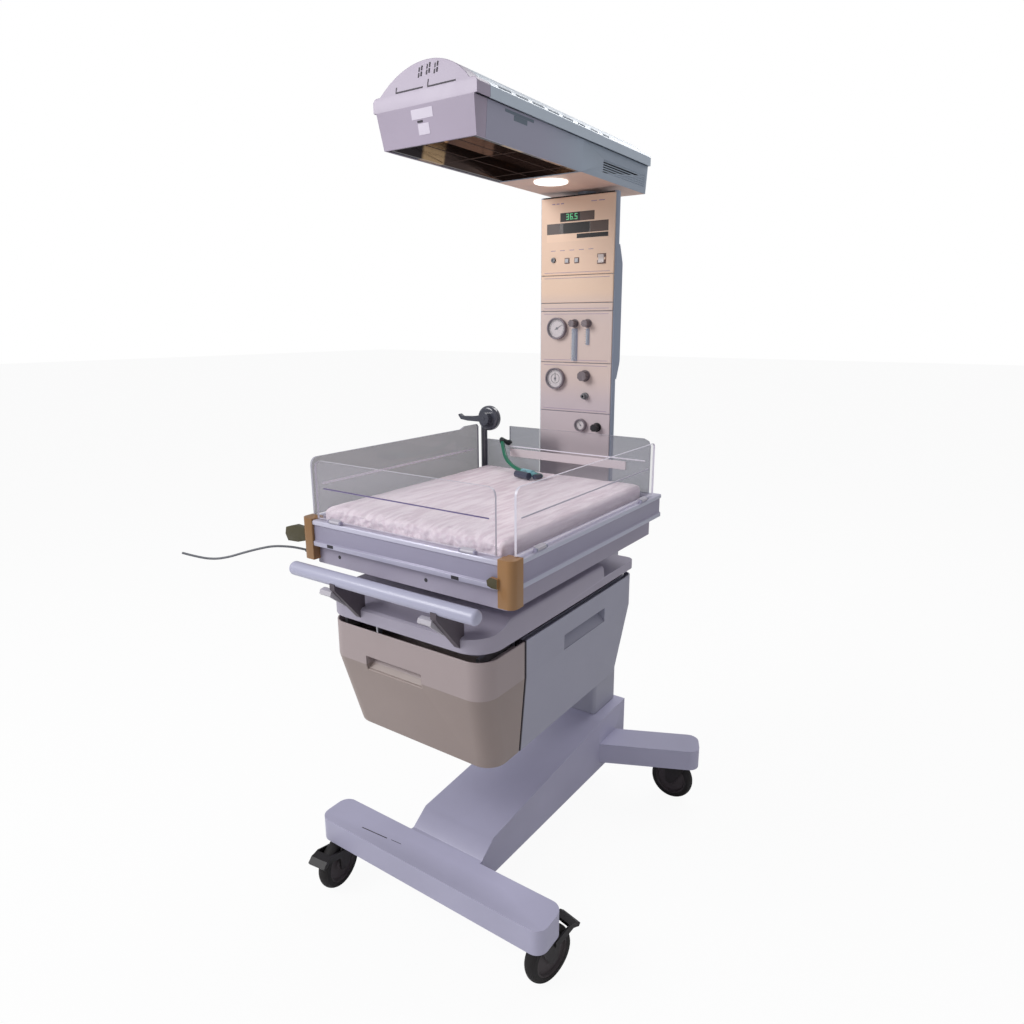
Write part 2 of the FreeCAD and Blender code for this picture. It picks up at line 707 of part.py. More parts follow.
def bar_brackets(tray):
    """Two gussets under the bar, each with the pin of its squeeze lever."""
    rim = -half_length
    outline_yz = [(rim, bar_z - bar_radius - 4), (rim, bar_z - 6), (bar_y + 16, bar_z - 6),
                  (gusset_rear_y, bar_z - 32), (gusset_rear_y, tray_lip_z - 8),
                  (tray_front_y, tray_bottom_z + 10)]
    cradle = rod(V(-bar_half, bar_y, bar_z), V(bar_half, bar_y, bar_z), bar_radius + running_gap)
    plates = []
    for low in bracket_sides().values():
        plate = prism_x(outline_yz, (low, low + gusset_width))
        pin = rod(V(low + 1, lever_pivot_y, lever_pivot_z),
                  V(low - lever_gap - 7, lever_pivot_y, lever_pivot_z), lever_pin_radius)
        plates.append(join([plate.cut([cradle, tray]), pin]))
    save("bar_brackets", plates)


def squeeze_levers():
    """Two paddles under the bar, each on a cranked arm beside its gusset."""
    for name, low in bracket_sides().items():
        high = low - lever_gap
        arm = prism_x([(lever_pivot_y + 8, lever_pivot_z - 5), (lever_pivot_y + 7, lever_pivot_z + 6),
                       (bar_y + 3.5, bar_z - 29), (bar_y - 10.5, bar_z - 29), (bar_y - 12.5, bar_z - 37),
                       (lever_pivot_y - 9, lever_pivot_z - 4), (lever_pivot_y, lever_pivot_z - 10)],
                      (high - 6, high))
        paddle = prism_x([(bar_y - 14.5, bar_z - 34), (bar_y - 11.5, bar_z - 26),
                          (bar_y - 0.5, bar_z - 24), (bar_y + 5.5, bar_z - 27),
                          (bar_y + 3.5, bar_z - 35), (bar_y - 10.5, bar_z - 38)],
                         (high - lever_width, high))
        lever = join([arm, paddle])
        bore = rod(V(high - 10, lever_pivot_y, lever_pivot_z), V(high + 1, lever_pivot_y, lever_pivot_z),
                   lever_pin_radius + running_gap)
        save(name, lever.cut(bore))


def bed_pan():
    """Hollow pan under the bed with a raised deck."""
    x = (-bed_half + pan_inset, bed_half - pan_inset)
    y = (bed_front_y + pan_inset, bed_rear_y - pan_inset)
    low = slab(x, y, (pan_bottom_z, rail_bottom_z), 14.0)
    deck = slab((-deck_half, deck_half), (mattress_front_y + 1, mattress_rear_y - 1),
                (rail_bottom_z - 1, deck_top_z), 8.0)
    hollow_low = slab((x[0] + pan_wall, x[1] - pan_wall), (y[0] + pan_wall, y[1] - pan_wall),
                      (pan_bottom_z + pan_wall, rail_bottom_z - pan_wall), 10.0)
    hollow_deck = slab((pan_wall - deck_half, deck_half - pan_wall),
                       (mattress_front_y + 1 + pan_wall, mattress_rear_y - 1 - pan_wall),
                       (rail_bottom_z - pan_wall - 1, deck_top_z - pan_wall), 4.0)
    save("bed_pan", join([low, deck]).cut([hollow_low, hollow_deck]))


def pan_zone(gap):
    """Room kept free for the pan, the deck and the mattress."""
    x = bed_half - pan_inset + gap
    y = (bed_front_y + pan_inset - gap, bed_rear_y - pan_inset + gap)
    low = block((-x, x), y, (pan_bottom_z - 50, rail_bottom_z))
    deck = block((-deck_half - gap, deck_half + gap), (mattress_front_y - gap, mattress_rear_y + gap),
                 (rail_bottom_z - 1, beyond))
    return low.fuse(deck)


def rail_profile(inner, outer):
    """Side rail section with a shallow groove between two ridges, as (across, z) points."""
    return [(inner, rail_bottom_z), (outer, rail_bottom_z), (outer, rail_bottom_z + rail_lip),
            (outer - rail_groove, rail_bottom_z + rail_lip + 3),
            (outer - rail_groove, rail_top_z - rail_lip - 3), (outer, rail_top_z - rail_lip),
            (outer, rail_top_z - 2), (outer - 2, rail_top_z), (inner, rail_top_z)]


def hinge_ears(centres, place, low, high):
    """Pairs of ears with a pin between them; place turns (across, z, along) into a point."""
    pieces = []
    for centre in centres:
        half = knuckle_length / 2 + 0.4
        for sign in (-1, 1):
            near = centre + sign * half
            far = near + sign * ear_thickness
            ear = [place(low, rail_top_z - 1, near), place(high - 1, rail_top_z - 1, near),
                   place(high + 3.5, panel_pin_z() - 2, near), place(high + 3.5, panel_pin_z() + 2, near),
                   place(high, panel_pin_z() + 4, near), place(high - 4.5, panel_pin_z() + 3, near)]
            pieces.append(polygon(ear, place(0, 0, far).sub(place(0, 0, near))))
        pieces.append(rod(place(high, panel_pin_z(), centre - half - 1),
                          place(high, panel_pin_z(), centre + half + 1), pin_radius))
    return pieces


def panel_pin_z():
    """Height of the panels' hinge pins."""
    return rail_top_z + 5.0


def side_pin_x():
    """Distance of the side panels' hinge pins from the middle plane."""
    return bed_half - 1.5


def front_pin_y():
    """Y of the front panel's hinge pin."""
    return bed_front_y + 1.5


def at_right(across, z, along):
    """Point on the right rail from its own directions."""
    return V(across, along, z)


def at_left(across, z, along):
    """Point on the left rail from its own directions."""
    return V(-across, along, z)


def at_front(across, z, along):
    """Point on the front rail from its own directions."""
    return V(along, -across, z)


side_hinges = (side_panel_front_y + 70, side_panel_rear_y - 70)
front_hinges = (-front_panel_half + 60, front_panel_half - 60)
rail_front_y = bed_front_y - corner_proud + corner_size


def bed_frame():
    """Four rails round the bed; the side and front ones carry hinge ears and pins."""
    inner = bed_half - rail_width
    rails = []
    for place in (at_right, at_left):
        section = [place(across, z, rail_front_y) for across, z in rail_profile(inner, bed_half)]
        bar = polygon(section, V(0, bed_rear_y - rail_front_y, 0))
        ears = hinge_ears(side_hinges, place, side_pin_x() - 6, side_pin_x())
        rails.append(join([bar] + ears))
    half = bed_half + corner_proud - corner_size
    front_inner = -bed_front_y - 21.2
    section = [at_front(across, z, -half) for across, z in rail_profile(front_inner, -bed_front_y)]
    bar = polygon(section, V(2 * half, 0, 0))
    ears = hinge_ears(front_hinges, at_front, -front_pin_y() - 6, -front_pin_y())
    rails.append(join([bar] + ears))
    rear_inner = mattress_rear_y + 1
    section = [V(-inner, y, z) for y, z in rail_profile(rear_inner, bed_rear_y)]
    bar = polygon(section, V(2 * inner, 0, 0))
    slot = block((-rear_panel_half - seat_gap, rear_panel_half + seat_gap),
                 (rear_panel_y - panel_thickness / 2 - 0.15, rear_panel_y + panel_thickness / 2 + 0.15),
                 (rear_slot_z, rail_top_z + 1))
    rails.append(bar.cut(slot))
    save("bed_frame", rails)


def corner_posts():
    """Cast blocks at the two foot-end corners; the left one has a latch lug."""
    outer_x = bed_half + corner_proud
    y = (bed_front_y - corner_proud, rail_front_y)
    free = pan_zone(seat_gap)
    posts = []
    for sign in (-1, 1):
        x = (outer_x - corner_size, outer_x) if sign > 0 else (-outer_x, corner_size - outer_x)
        radii = (2.0, corner_round, 2.0, 2.0) if sign > 0 else (corner_round, 2.0, 2.0, 2.0)
        posts.append(slab(x, y, (corner_bottom_z, rail_top_z + 3), radii))
    low = rail_bottom_z
    lug = prism_y([(-outer_x + 5, low + 33), (-outer_x - 30, low + 35), (-outer_x - 58, low + 27),
                   (-outer_x - 62, low + 11), (-outer_x - 54, low - 4), (-outer_x - 20, low - 2),
                   (-outer_x + 5, low + 5)], (y[0] + 4, y[0] + 18))
    posts[0] = posts[0].fuse(lug)
    near = outer_x - corner_size
    catch = prism_y([(near + 4, low + 24), (near - 12, low + 25), (near - 20, low + 18),
                     (near - 18, low + 8), (near - 8, low + 5), (near + 4, low + 5)],
                    (y[0] - 6, y[0] + 1.6))
    posts[1] = posts[1].fuse(catch)
    posts = [block_shape.cut(free).removeSplitter() for block_shape in posts]
    save("corner_posts", posts)
    return posts[0]


def hinged_panel(plate, bead, centres, place, across):
    """A clear panel with a raised bead and knuckles that turn on the rail's pins."""
    pieces = [plate, bead]
    pin_z = panel_pin_z()
    for centre in centres:
        low = centre - knuckle_length / 2
        high = centre + knuckle_length / 2
        pieces.append(rod(place(across, pin_z, low), place(across, pin_z, high), knuckle_radius))
        web = [place(across - panel_offset + 1, pin_z - 1.6, low), place(across, pin_z - 1.6, low),
               place(across, pin_z + 3.4, low), place(across - panel_offset + 1, pin_z + 6, low)]
        pieces.append(polygon(web, place(0, 0, high).sub(place(0, 0, low))))
    whole = join(pieces)
    bores = []
    for centre in centres:
        bores.append(rod(place(across, pin_z, centre - knuckle_length),
                         place(across, pin_z, centre + knuckle_length), pin_radius + 0.06))
    return whole.cut(bores)


def side_panels():
    """Left and right clear panels; the left one rises in a low step near the head end."""
    across = side_pin_x()
    mid = across - panel_offset - 1
    for name, place in (("right_panel", at_right), ("left_panel", at_left)):
        y = (side_panel_front_y, side_panel_rear_y)
        edge = [(y[0], panel_bottom_z), (y[1], panel_bottom_z), (y[1], panel_top_z - 6),
                (y[1] - 6, panel_top_z)]
        if name == "left_panel":
            step_z = panel_top_z + panel_step_rise
            step_y = y[1] - panel_step_length
            edge = edge[:2] + [(y[1], panel_top_z), (y[1] - 6, step_z), (step_y, step_z),
                               (step_y - panel_ramp_length, panel_top_z)]
        for step in range(5):
            turn = math.radians(90 * step / 4)
            edge.append((y[0] + panel_corner * (1 - math.sin(turn)),
                         panel_top_z - panel_corner * (1 - math.cos(turn))))
        low = mid - panel_thickness / 2
        plate = polygon([place(low, z, along) for along, z in edge],
                        place(panel_thickness, 0, 0).sub(place(0, 0, 0)))
        bead = polygon([place(low - bead_proud, bead_z, y[0] + 24), place(low + 1, bead_z, y[0] + 24),
                        place(low + 1, bead_z + bead_height, y[0] + 24),
                        place(low - bead_proud, bead_z + bead_height, y[0] + 24)],
                       V(0, y[1] - y[0] - 48, 0))
        save(name, hinged_panel(plate, bead, side_hinges, place, across))


def front_panel():
    """Low clear panel at the foot end."""
    across = -front_pin_y()
    mid = across - panel_offset
    edge = [(-front_panel_half, panel_bottom_z), (front_panel_half, panel_bottom_z)]
    for side in (1, -1):
        for step in range(5):
            turn = math.radians(90 * step / 4 if side > 0 else 90 - 90 * step / 4)
            edge.append((side * (front_panel_half - panel_corner * (1 - math.cos(turn))),
                         panel_top_z - panel_corner * (1 - math.sin(turn))))
    low = mid - panel_thickness / 2
    plate = polygon([at_front(low, z, along) for along, z in edge],
                    at_front(panel_thickness, 0, 0).sub(at_front(0, 0, 0)))
    bead = polygon([at_front(low - bead_proud, bead_z, 18 - front_panel_half),
                    at_front(low + 1, bead_z, 18 - front_panel_half),
                    at_front(low + 1, bead_z + bead_height, 18 - front_panel_half),
                    at_front(low - bead_proud, bead_z + bead_height, 18 - front_panel_half)],
                   V(2 * front_panel_half - 36, 0, 0))
    save("front_panel", hinged_panel(plate, bead, front_hinges, at_front, across))


def rear_panel():
    """Fixed panel in the rear rail, notched at the left for the clamp and the hose."""
    top = rear_panel_top_z
    edge = [(-rear_panel_half, rear_slot_z + seat_gap), (rear_panel_half, rear_slot_z + seat_gap),
            (rear_panel_half, top - 18), (rear_panel_half - 5, top - 6), (rear_panel_half - 18, top),
            (rear_panel_notch_x, top), (rear_panel_notch_x, rear_panel_notch_z),
            (-rear_panel_half, rear_panel_notch_z)]
    y = (rear_panel_y - panel_thickness / 2, rear_panel_y + panel_thickness / 2)
    plate = prism_y(edge, y)
    bead = block((rear_panel_notch_x, rear_panel_half - 12), (y[0] - bead_proud, y[0]),
                 (bead_z + 11, bead_z + 11 + bead_height))
    save("rear_panel", join([plate, bead]))
    save("label_strip", block((rear_panel_notch_x + 3, rear_panel_half - 64), (y[0] - 3, y[0]),
                              (bead_z - 16, bead_z + 6)))


def mattress():
    """Firm pad on the deck."""
    pad = slab((-mattress_half, mattress_half), (mattress_front_y, mattress_rear_y),
               (deck_top_z + seat_gap, mattress_top_z), 26.0)
    ring = [e for e in pad.Edges if abs(e.CenterOfMass.z - mattress_top_z) < 0.1]
    save("mattress", pad.makeFillet(9.0, ring))


def tilt_yoke():
    """Shaft through the tray's lugs, with the two ears that carry the pan."""
    reach = tilt_lug_x + tilt_lug_width / 2 + 16
    pieces = [rod(V(-reach, tilt_y, tilt_z), V(reach, tilt_y, tilt_z), tilt_shaft_radius)]
    for sign in (-1, 1):
        x = (sign * tilt_ear_x - 8, sign * tilt_ear_x + 8)
        pieces.append(prism_x([(tilt_y - 9, tilt_z - 6), (tilt_y + 9, tilt_z - 6),
                               (tilt_y + 30, pan_bottom_z - 6), (tilt_y + 58, pan_bottom_z - 6),
                               (tilt_y + 58, pan_bottom_z), (tilt_y - 58, pan_bottom_z),
                               (tilt_y - 58, pan_bottom_z - 6), (tilt_y - 30, pan_bottom_z - 6)], x))
        pieces.append(rod(V(sign * (reach - 4), tilt_y, tilt_z), V(sign * reach, tilt_y, tilt_z), 9))
    save("tilt_yoke", join(pieces))


def clamp():
    """Short pole on the rail with a domed clamp disc, and its wing lever in front."""
    y_mid = rear_panel_y
    pole = rod(V(pole_x, y_mid, rail_top_z), V(pole_x, y_mid, disc_z - 10), pole_radius)
    disc = rod(V(disc_x, disc_y, disc_z), V(disc_x, disc_y + disc_depth, disc_z), disc_radius)
    rims = [e for e in disc.Edges if e.Curve.TypeId == "Part::GeomCircle"]
    disc = disc.makeFillet(9.0, rims)
    body = join([pole, disc])
    spindle = rod(V(disc_x, disc_y + 1, disc_z), V(disc_x, disc_y - lever_depth - 0.8, disc_z), 5)
    save("clamp_body", join([body, spindle]))
    y = (disc_y - lever_depth, disc_y - seat_gap)
    hub = rod(V(disc_x, y[0], disc_z), V(disc_x, y[1], disc_z), 17)
    wing = prism_y([(disc_x, disc_z - 9), (disc_x - 60, disc_z - 9), (disc_x - 84, disc_z - 6),
                    (disc_x - 93, disc_z + 6), (disc_x - 88, disc_z + 9), (disc_x - 78, disc_z + 3),
                    (disc_x - 40, disc_z + 5), (disc_x, disc_z + 12)], (y[0] + 3, y[1] - 2))
    lever = join([hub, wing])
    bore = rod(V(disc_x, y[0] - 2, disc_z), V(disc_x, y[1] + 2, disc_z), 5 + running_gap)
    save("clamp_lever", lever.cut(bore))


def cord(spots, diameter):
    """A tube along straight runs joined by tangent arcs."""
    pieces = []
    start = spots[0]
    for index in range(1, len(spots) - 1):
        before = spots[index].sub(spots[index - 1])
        after = spots[index + 1].sub(spots[index])
        turn = before.getAngle(after)
        cut_back = 0.45 * min(before.Length, after.Length)
        radius = cut_back / math.tan(turn / 2)
        into = spots[index].sub(V(before).normalize().multiply(cut_back))
        out = spots[index].add(V(after).normalize().multiply(cut_back))
        inward = into.add(out).multiply(0.5).sub(spots[index]).normalize()
        middle = spots[index].add(inward.multiply(radius / math.cos(turn / 2) - radius))
        pieces.append(Part.LineSegment(start, into).toShape())
        pieces.append(Part.Arc(into, middle, out).toShape())
        start = out
    pieces.append(Part.LineSegment(start, spots[-1]).toShape())
    path = Part.Wire(pieces)
    ring = Part.makeCircle(diameter / 2, spots[0], spots[1].sub(spots[0]))
    return path.makePipeShell([Part.Wire([ring])], True, False)


def hose_and_fittings(left_post):
    """Breathing hose on the bed, its elbow at the rear panel, and the tee at its far end."""
    hose_route = [hose_start.add(V(*step)) for step in hose_steps]
    stay_route = [stay_start.add(V(*step)) for step in stay_steps]
    start = hose_route[0]
    way = hose_route[1].sub(start).normalize()
    face_y = rear_panel_y - panel_thickness / 2
    root = V(start.x + 9, face_y, start.z - 3)
    knee = start.sub(V(way).multiply(9))
    elbow = join([rod(root, V(root.x, root.y - 9, root.z), 8),
                  rod(V(root.x, root.y - 4, root.z), knee, 6.2),
                  Part.makeSphere(7.2, knee), rod(knee, start, 7.2)])
    elbow = elbow.cut(block((-beyond, beyond), (face_y, face_y + 40), (0, beyond)))
    sleeve = rod(start.sub(V(way).multiply(0.001)), start.add(V(way).multiply(30)), 30)
    elbow = elbow.cut(sleeve)
    socket_at = stay_route[0]
    stay_way = stay_route[1].sub(socket_at).normalize()
    socket = rod(socket_at.sub(V(stay_way).multiply(14)), socket_at, 4.5).cut(left_post)
    save("hose_fittings", [elbow, socket])
    save("hose", cord(hose_route, hose_diameter))
    save("stay_wire", cord(stay_route, stay_diameter))
    end = hose_route[-1]
    along = end.sub(hose_route[-2]).normalize()
    rest_z = mattress_top_z + seat_gap
    main_end = end.add(tee_main_run)
    stub_end = main_end.add(tee_stub_run)
    branch_end = end.add(tee_branch_run)
    main = rod(end, main_end, 8.5)
    branch = rod(end.add(V(18, -5, 0)), branch_end, 7)
    stub = rod(main_end, stub_end, 6.5)
    bend = Part.makeSphere(6.5, stub_end)
    outlet = rod(stub_end, stub_end.add(tee_outlet_run), 6.5)
    dark = rod(branch_end.add(V(-3, 0, 1)), branch_end.add(V(-3, 0, 1)).add(tee_valve_run), 9)
    tee = join([main, branch, stub, bend, outlet, dark])
    lid = block((-beyond, beyond), (-beyond, beyond), (0, rest_z))
    behind = rod(end.add(V(along).multiply(0.001)), end.sub(V(along).multiply(30)), 40)
    save("t_piece", tee.cut([lid, behind]))


def hooks(outer):
    """Two wire hooks on the back of the cabinet."""
    pieces = []
    high_z = tub_bottom_z + 62
    low_z = tub_bottom_z + 1
    for x in (47 - tub_half, tub_half - 47):
        path = [V(x, tub_rear_y - 48, high_z), V(x, tub_rear_y + 5, high_z),
                V(x, tub_rear_y + 13, high_z - 10), V(x, tub_rear_y + 13, low_z + 9),
                V(x, tub_rear_y + 5, low_z), V(x, tub_rear_y - 7, low_z),
                V(x, tub_rear_y - 13, low_z + 8)]
        wire = [Part.makeSphere(3, spot) for spot in path[1:]]
        for index in range(len(path) - 1):
            wire.append(rod(path[index], path[index + 1], 3))
        pieces.append(join(wire).cut(outer))
    save("rear_hooks", pieces)


def bulge_outline(inset):
    """Side profile of the column's deeper middle, which slopes in at both ends."""
    front_y = column_front_y + inset
    shallow_y = column_front_y + column_side_depth - inset
    deep_y = column_front_y + bulge_depth - inset
    return [(front_y, bulge_low_z + inset), (shallow_y, bulge_low_z + inset),
            (deep_y, bulge_low_z + bulge_slope + inset), (deep_y, bulge_high_z - bulge_slope - inset),
            (shallow_y, bulge_high_z - inset), (front_y, bulge_high_z - inset)]


def column_cover():
    """Hollow column: wide front skin, deep core, deeper middle, and the hood's bearing on top."""
    front = slab((-column_half, column_half), (column_front_y, column_front_y + column_side_depth),
                 (post_top_z, column_top_z), (4.0, 4.0, 7.0, 7.0))
    core = slab((-column_core_half, column_core_half), (column_front_y + 10, column_rear_y),
                (post_top_z, column_top_z), (1.0, 1.0, 10.0, 10.0))
    bulge = slab((-column_half, column_half), (column_front_y, column_front_y + bulge_depth),
                 (bulge_low_z, bulge_high_z), (4.0, 4.0, 9.0, 9.0))
    bulge = bulge.common(prism_x(bulge_outline(0), (-column_half, column_half)))
    wall = 3.0
    hollow = block((wall - column_half, column_half - wall),
                   (column_front_y + wall, column_front_y + column_side_depth - wall),
                   (post_top_z + wall, column_top_z - 8))
    hollow_core = block((wall - column_core_half, column_core_half - wall),
                        (column_front_y + wall, column_rear_y - wall), (post_top_z - 1, column_top_z - 8))
    hollow_bulge = prism_x(bulge_outline(wall), (wall - column_half, column_half - wall))
    bearing = rod(V(0, pivot_y, post_top_z + 100), V(0, pivot_y, column_top_z + 1),
                  pivot_radius + running_gap)
    cap = block((-column_core_half, column_core_half), (column_front_y + 1, column_rear_y - 1),
                (column_top_z - 24, column_top_z - 1))
    shell = join([front, core, bulge]).cut([hollow, hollow_core, hollow_bulge])
    knob_wells = []
    for x, z, radius in knobs.values():
        knob_wells.append(rod(V(x, column_front_y - 1, z), V(x, column_front_y + 8, z),
                              knob_shaft_radius + 1))
    save("column_cover", join([shell, cap]).cut([bearing] + knob_wells))


def module_blank(low, high):
    """One front module plate between two heights, with softened front edges."""
    plate = block((-module_half, module_half),
                  (column_front_y - module_thickness, column_front_y),
                  (low + module_gap / 2, high - module_gap / 2))
    face_y = column_front_y - module_thickness
    ring = [e for e in plate.Edges if abs(e.CenterOfMass.y - face_y) < 0.01]
    return plate.makeFillet(1.5, ring)


def column_modules():
    """Front plates of the column with their holes, windows, gauges, tubes and ports."""
    face_y = column_front_y - module_thickness
    plates = []
    for index in range(len(module_lines) - 1):
        plates.append(module_blank(module_lines[index], module_lines[index + 1]))
    for x, z, radius in knobs.values():
        bore = rod(V(x, face_y - 1, z), V(x, column_front_y + 1, z), knob_shaft_radius + running_gap)
        plates = [plate.cut(bore) for plate in plates]
    control = plates.pop()
    glass = []
    for low_x, high_x, low_z, high_z in windows:
        recess = block((low_x, high_x), (face_y - 1, face_y + window_depth), (low_z, high_z))
        control = control.cut(recess)
        glass.append(block((low_x + 0.2, high_x - 0.2), (face_y + 0.3, face_y + window_depth),
                           (low_z + 0.2, high_z - 0.2)))
    for x in buttons.values():
        half = button_size / 2 + 0.35
        control = control.cut(block((x - half, x + half), (face_y - 1, column_front_y + 1),
                                    (button_z - half, button_z + half)))
    half_x = switch_width / 2 + 0.4
    half_z = switch_height / 2 + 0.4
    control = control.cut(block((switch_x - half_x, switch_x + half_x), (face_y - 1, face_y + 3),
                                (switch_z - half_z, switch_z + half_z)))
    pin_y = face_y - 1.0
    posts = []
    for sign in (-1, 1):
        near = switch_x + sign * (switch_width / 2 + 0.4)
        far = near + sign * 3
        low_x = min(near, far)
        posts.append(block((low_x, low_x + 3), (face_y - 3, face_y + 1), (switch_z - 3, switch_z + 3)))
    pin = rod(V(switch_x - switch_width / 2 - 1, pin_y, switch_z),
              V(switch_x + switch_width / 2 + 1, pin_y, switch_z), 1.2)
    save("control_panel", join([control] + posts + [pin]))
    save("module_panels", plates)
    save("display_windows", glass)
    jack = rod(V(jack_x, face_y, jack_z), V(jack_x, face_y - 4, jack_z), 6)
    jack = jack.cut(rod(V(jack_x, face_y - 2, jack_z), V(jack_x, face_y - 6, jack_z), 3))
    port = join([rod(V(port_x, face_y, port_z), V(port_x, face_y - 8, port_z), 9),
                 rod(V(port_x, face_y - 8, port_z), V(port_x, face_y - 18, port_z), 6)])
    port = port.cut(rod(V(port_x, face_y - 10, port_z), V(port_x, face_y - 20, port_z), 3.5))
    save("panel_ports", [jack, port])
    cases = []
    lenses = []
    for x, z, radius in gauges:
        front_y = face_y - gauge_depth
        cup = rod(V(x, face_y, z), V(x, front_y, z), radius)
        cup = cup.cut(rod(V(x, front_y + 2.5, z), V(x, front_y - 1, z), radius - 2.5))
        cup = cup.cut(rod(V(x, front_y + 7, z), V(x, front_y - 1, z), radius - 4.5))
        cases.append(cup)
        lenses.append(rod(V(x, front_y + 2.5, z), V(x, front_y + 1, z), radius - 2.6))
    save("gauge_cases", cases)
    save("gauge_lenses", lenses)
    glass_tubes = []
    for x, low, high, radius in tubes:
        heart = rod(V(x, face_y - radius - 1, low), V(x, face_y - radius - 1, high), radius)
        foot = block((x - radius, x + radius), (face_y - radius - 1, face_y), (low, low + 8))
        head = block((x - radius, x + radius), (face_y - radius - 1, face_y), (high - 6, high))
        glass_tubes.append(join([heart, foot, head]))
    save("flow_tubes", glass_tubes)
    return face_y, pin_y


def turned_knob(name, face_y):
    """A fluted knob on its own short shaft."""
    x, z, radius = knobs[name]
    back_y = face_y - seat_gap
    front_y = back_y - knob_depth
    grip = rod(V(x, back_y, z), V(x, front_y, z), radius)
    skirt = rod(V(x, back_y, z), V(x, back_y - 4, z), radius + 2)
    shaft = rod(V(x, back_y - 1, z), V(x, column_front_y - 0.4, z), knob_shaft_radius)
    knob = join([grip, skirt, shaft])
    flutes = []
    for step in range(8):
        turn = math.radians(45 * step)
        centre = V(x + (radius + 1.2) * math.cos(turn), front_y - 1, z + (radius + 1.2) * math.sin(turn))
        flutes.append(rod(centre, V(centre.x, back_y - 6, centre.z), 2.4))
    save(name, knob.cut(flutes))


def controls():
    """Buttons, rocker switch and knobs."""
    face_y, pin_y = column_modules()
    for name, x in buttons.items():
        half = button_size / 2
        cap = block((x - half, x + half), (face_y - 3, column_front_y - button_travel - 0.4),
                    (button_z - half, button_z + half))
        ring = [e for e in cap.Edges if abs(e.CenterOfMass.y - face_y + 3) < 0.01]
        save(name, cap.makeFillet(1.2, ring))
    half_x = switch_width / 2
    half_z = switch_height / 2
    rocker = prism_x([(pin_y - 5, switch_z - half_z), (pin_y - 2.2, switch_z),
                      (pin_y - 5, switch_z + half_z), (pin_y + 0.5, switch_z + half_z),
                      (pin_y + 2, switch_z), (pin_y + 0.5, switch_z - half_z)],
                     (switch_x - half_x, switch_x + half_x))
    hole = rod(V(switch_x - 20, pin_y, switch_z), V(switch_x + 20, pin_y, switch_z), 1.2 + running_gap)
    save("power_switch", rocker.cut(hole))
    for name in knobs:
        turned_knob(name, face_y)


def hood_section(inset):
    """Hood outline across X as edges: drawn-in sides, overhanging belt, shoulder and dome."""
    side = [V(hood_bottom_half - inset, 0, hood_bottom_z),
            V(hood_belt_half - inset, 0, hood_belt_z)]
    belt = hood_belt_half + hood_flange - inset
    side.append(V(belt, 0, hood_belt_z))
    side.append(V(belt, 0, hood_shoulder_z - inset * 0.4))
    side.append(V(belt - 3.5, 0, hood_shoulder_z + 5.5 - inset * 0.8))
    side.append(V(belt - 9, 0, dome_foot_z - inset))
    side.append(V(dome_half - inset * 0.4, 0, dome_foot_z - inset))
    other = [V(-spot.x, 0, spot.z) for spot in side]
    edges = []
    for index in range(len(side) - 1):
        edges.append(Part.LineSegment(side[index], side[index + 1]).toShape())
    arc = Part.Arc(side[-1], V(0, 0, dome_foot_z + dome_rise - inset), other[-1]).toShape()
    edges.append(arc)
    for index in range(len(other) - 1, 0, -1):
        edges.append(Part.LineSegment(other[index], other[index - 1]).toShape())
    edges.append(Part.LineSegment(other[0], side[0]).toShape())
    return Part.Face(Part.Wire(edges))


def hood_block(inset):
    """The hood's whole outer form; inset gives its inner form."""
    face = hood_section(inset)
    face.translate(V(0, cap_front_y - 10, 0))
    long_form = face.extrude(V(0, hood_rear_y - cap_front_y + 20, 0))
    top = dome_foot_z + dome_rise + 1
    points = [(hood_front_y + inset, hood_bottom_z - 1), (cap_front_y + inset, hood_belt_z),
              (cap_front_y + inset, hood_shoulder_z), (cap_front_y + 4 + inset, dome_foot_z + 12),
              (cap_front_y + 12 + inset, top)]
    for step in range(6):
        turn = math.radians(18 * step)
        points.append((hood_rear_y - inset - hood_corner * (1 - math.sin(turn)),
                       top - 1 - inset - hood_corner * (1 - math.cos(turn))))
    points.append((hood_rear_y - inset, hood_bottom_z - 1))
    return long_form.common(prism_x(points, (-beyond, beyond)))


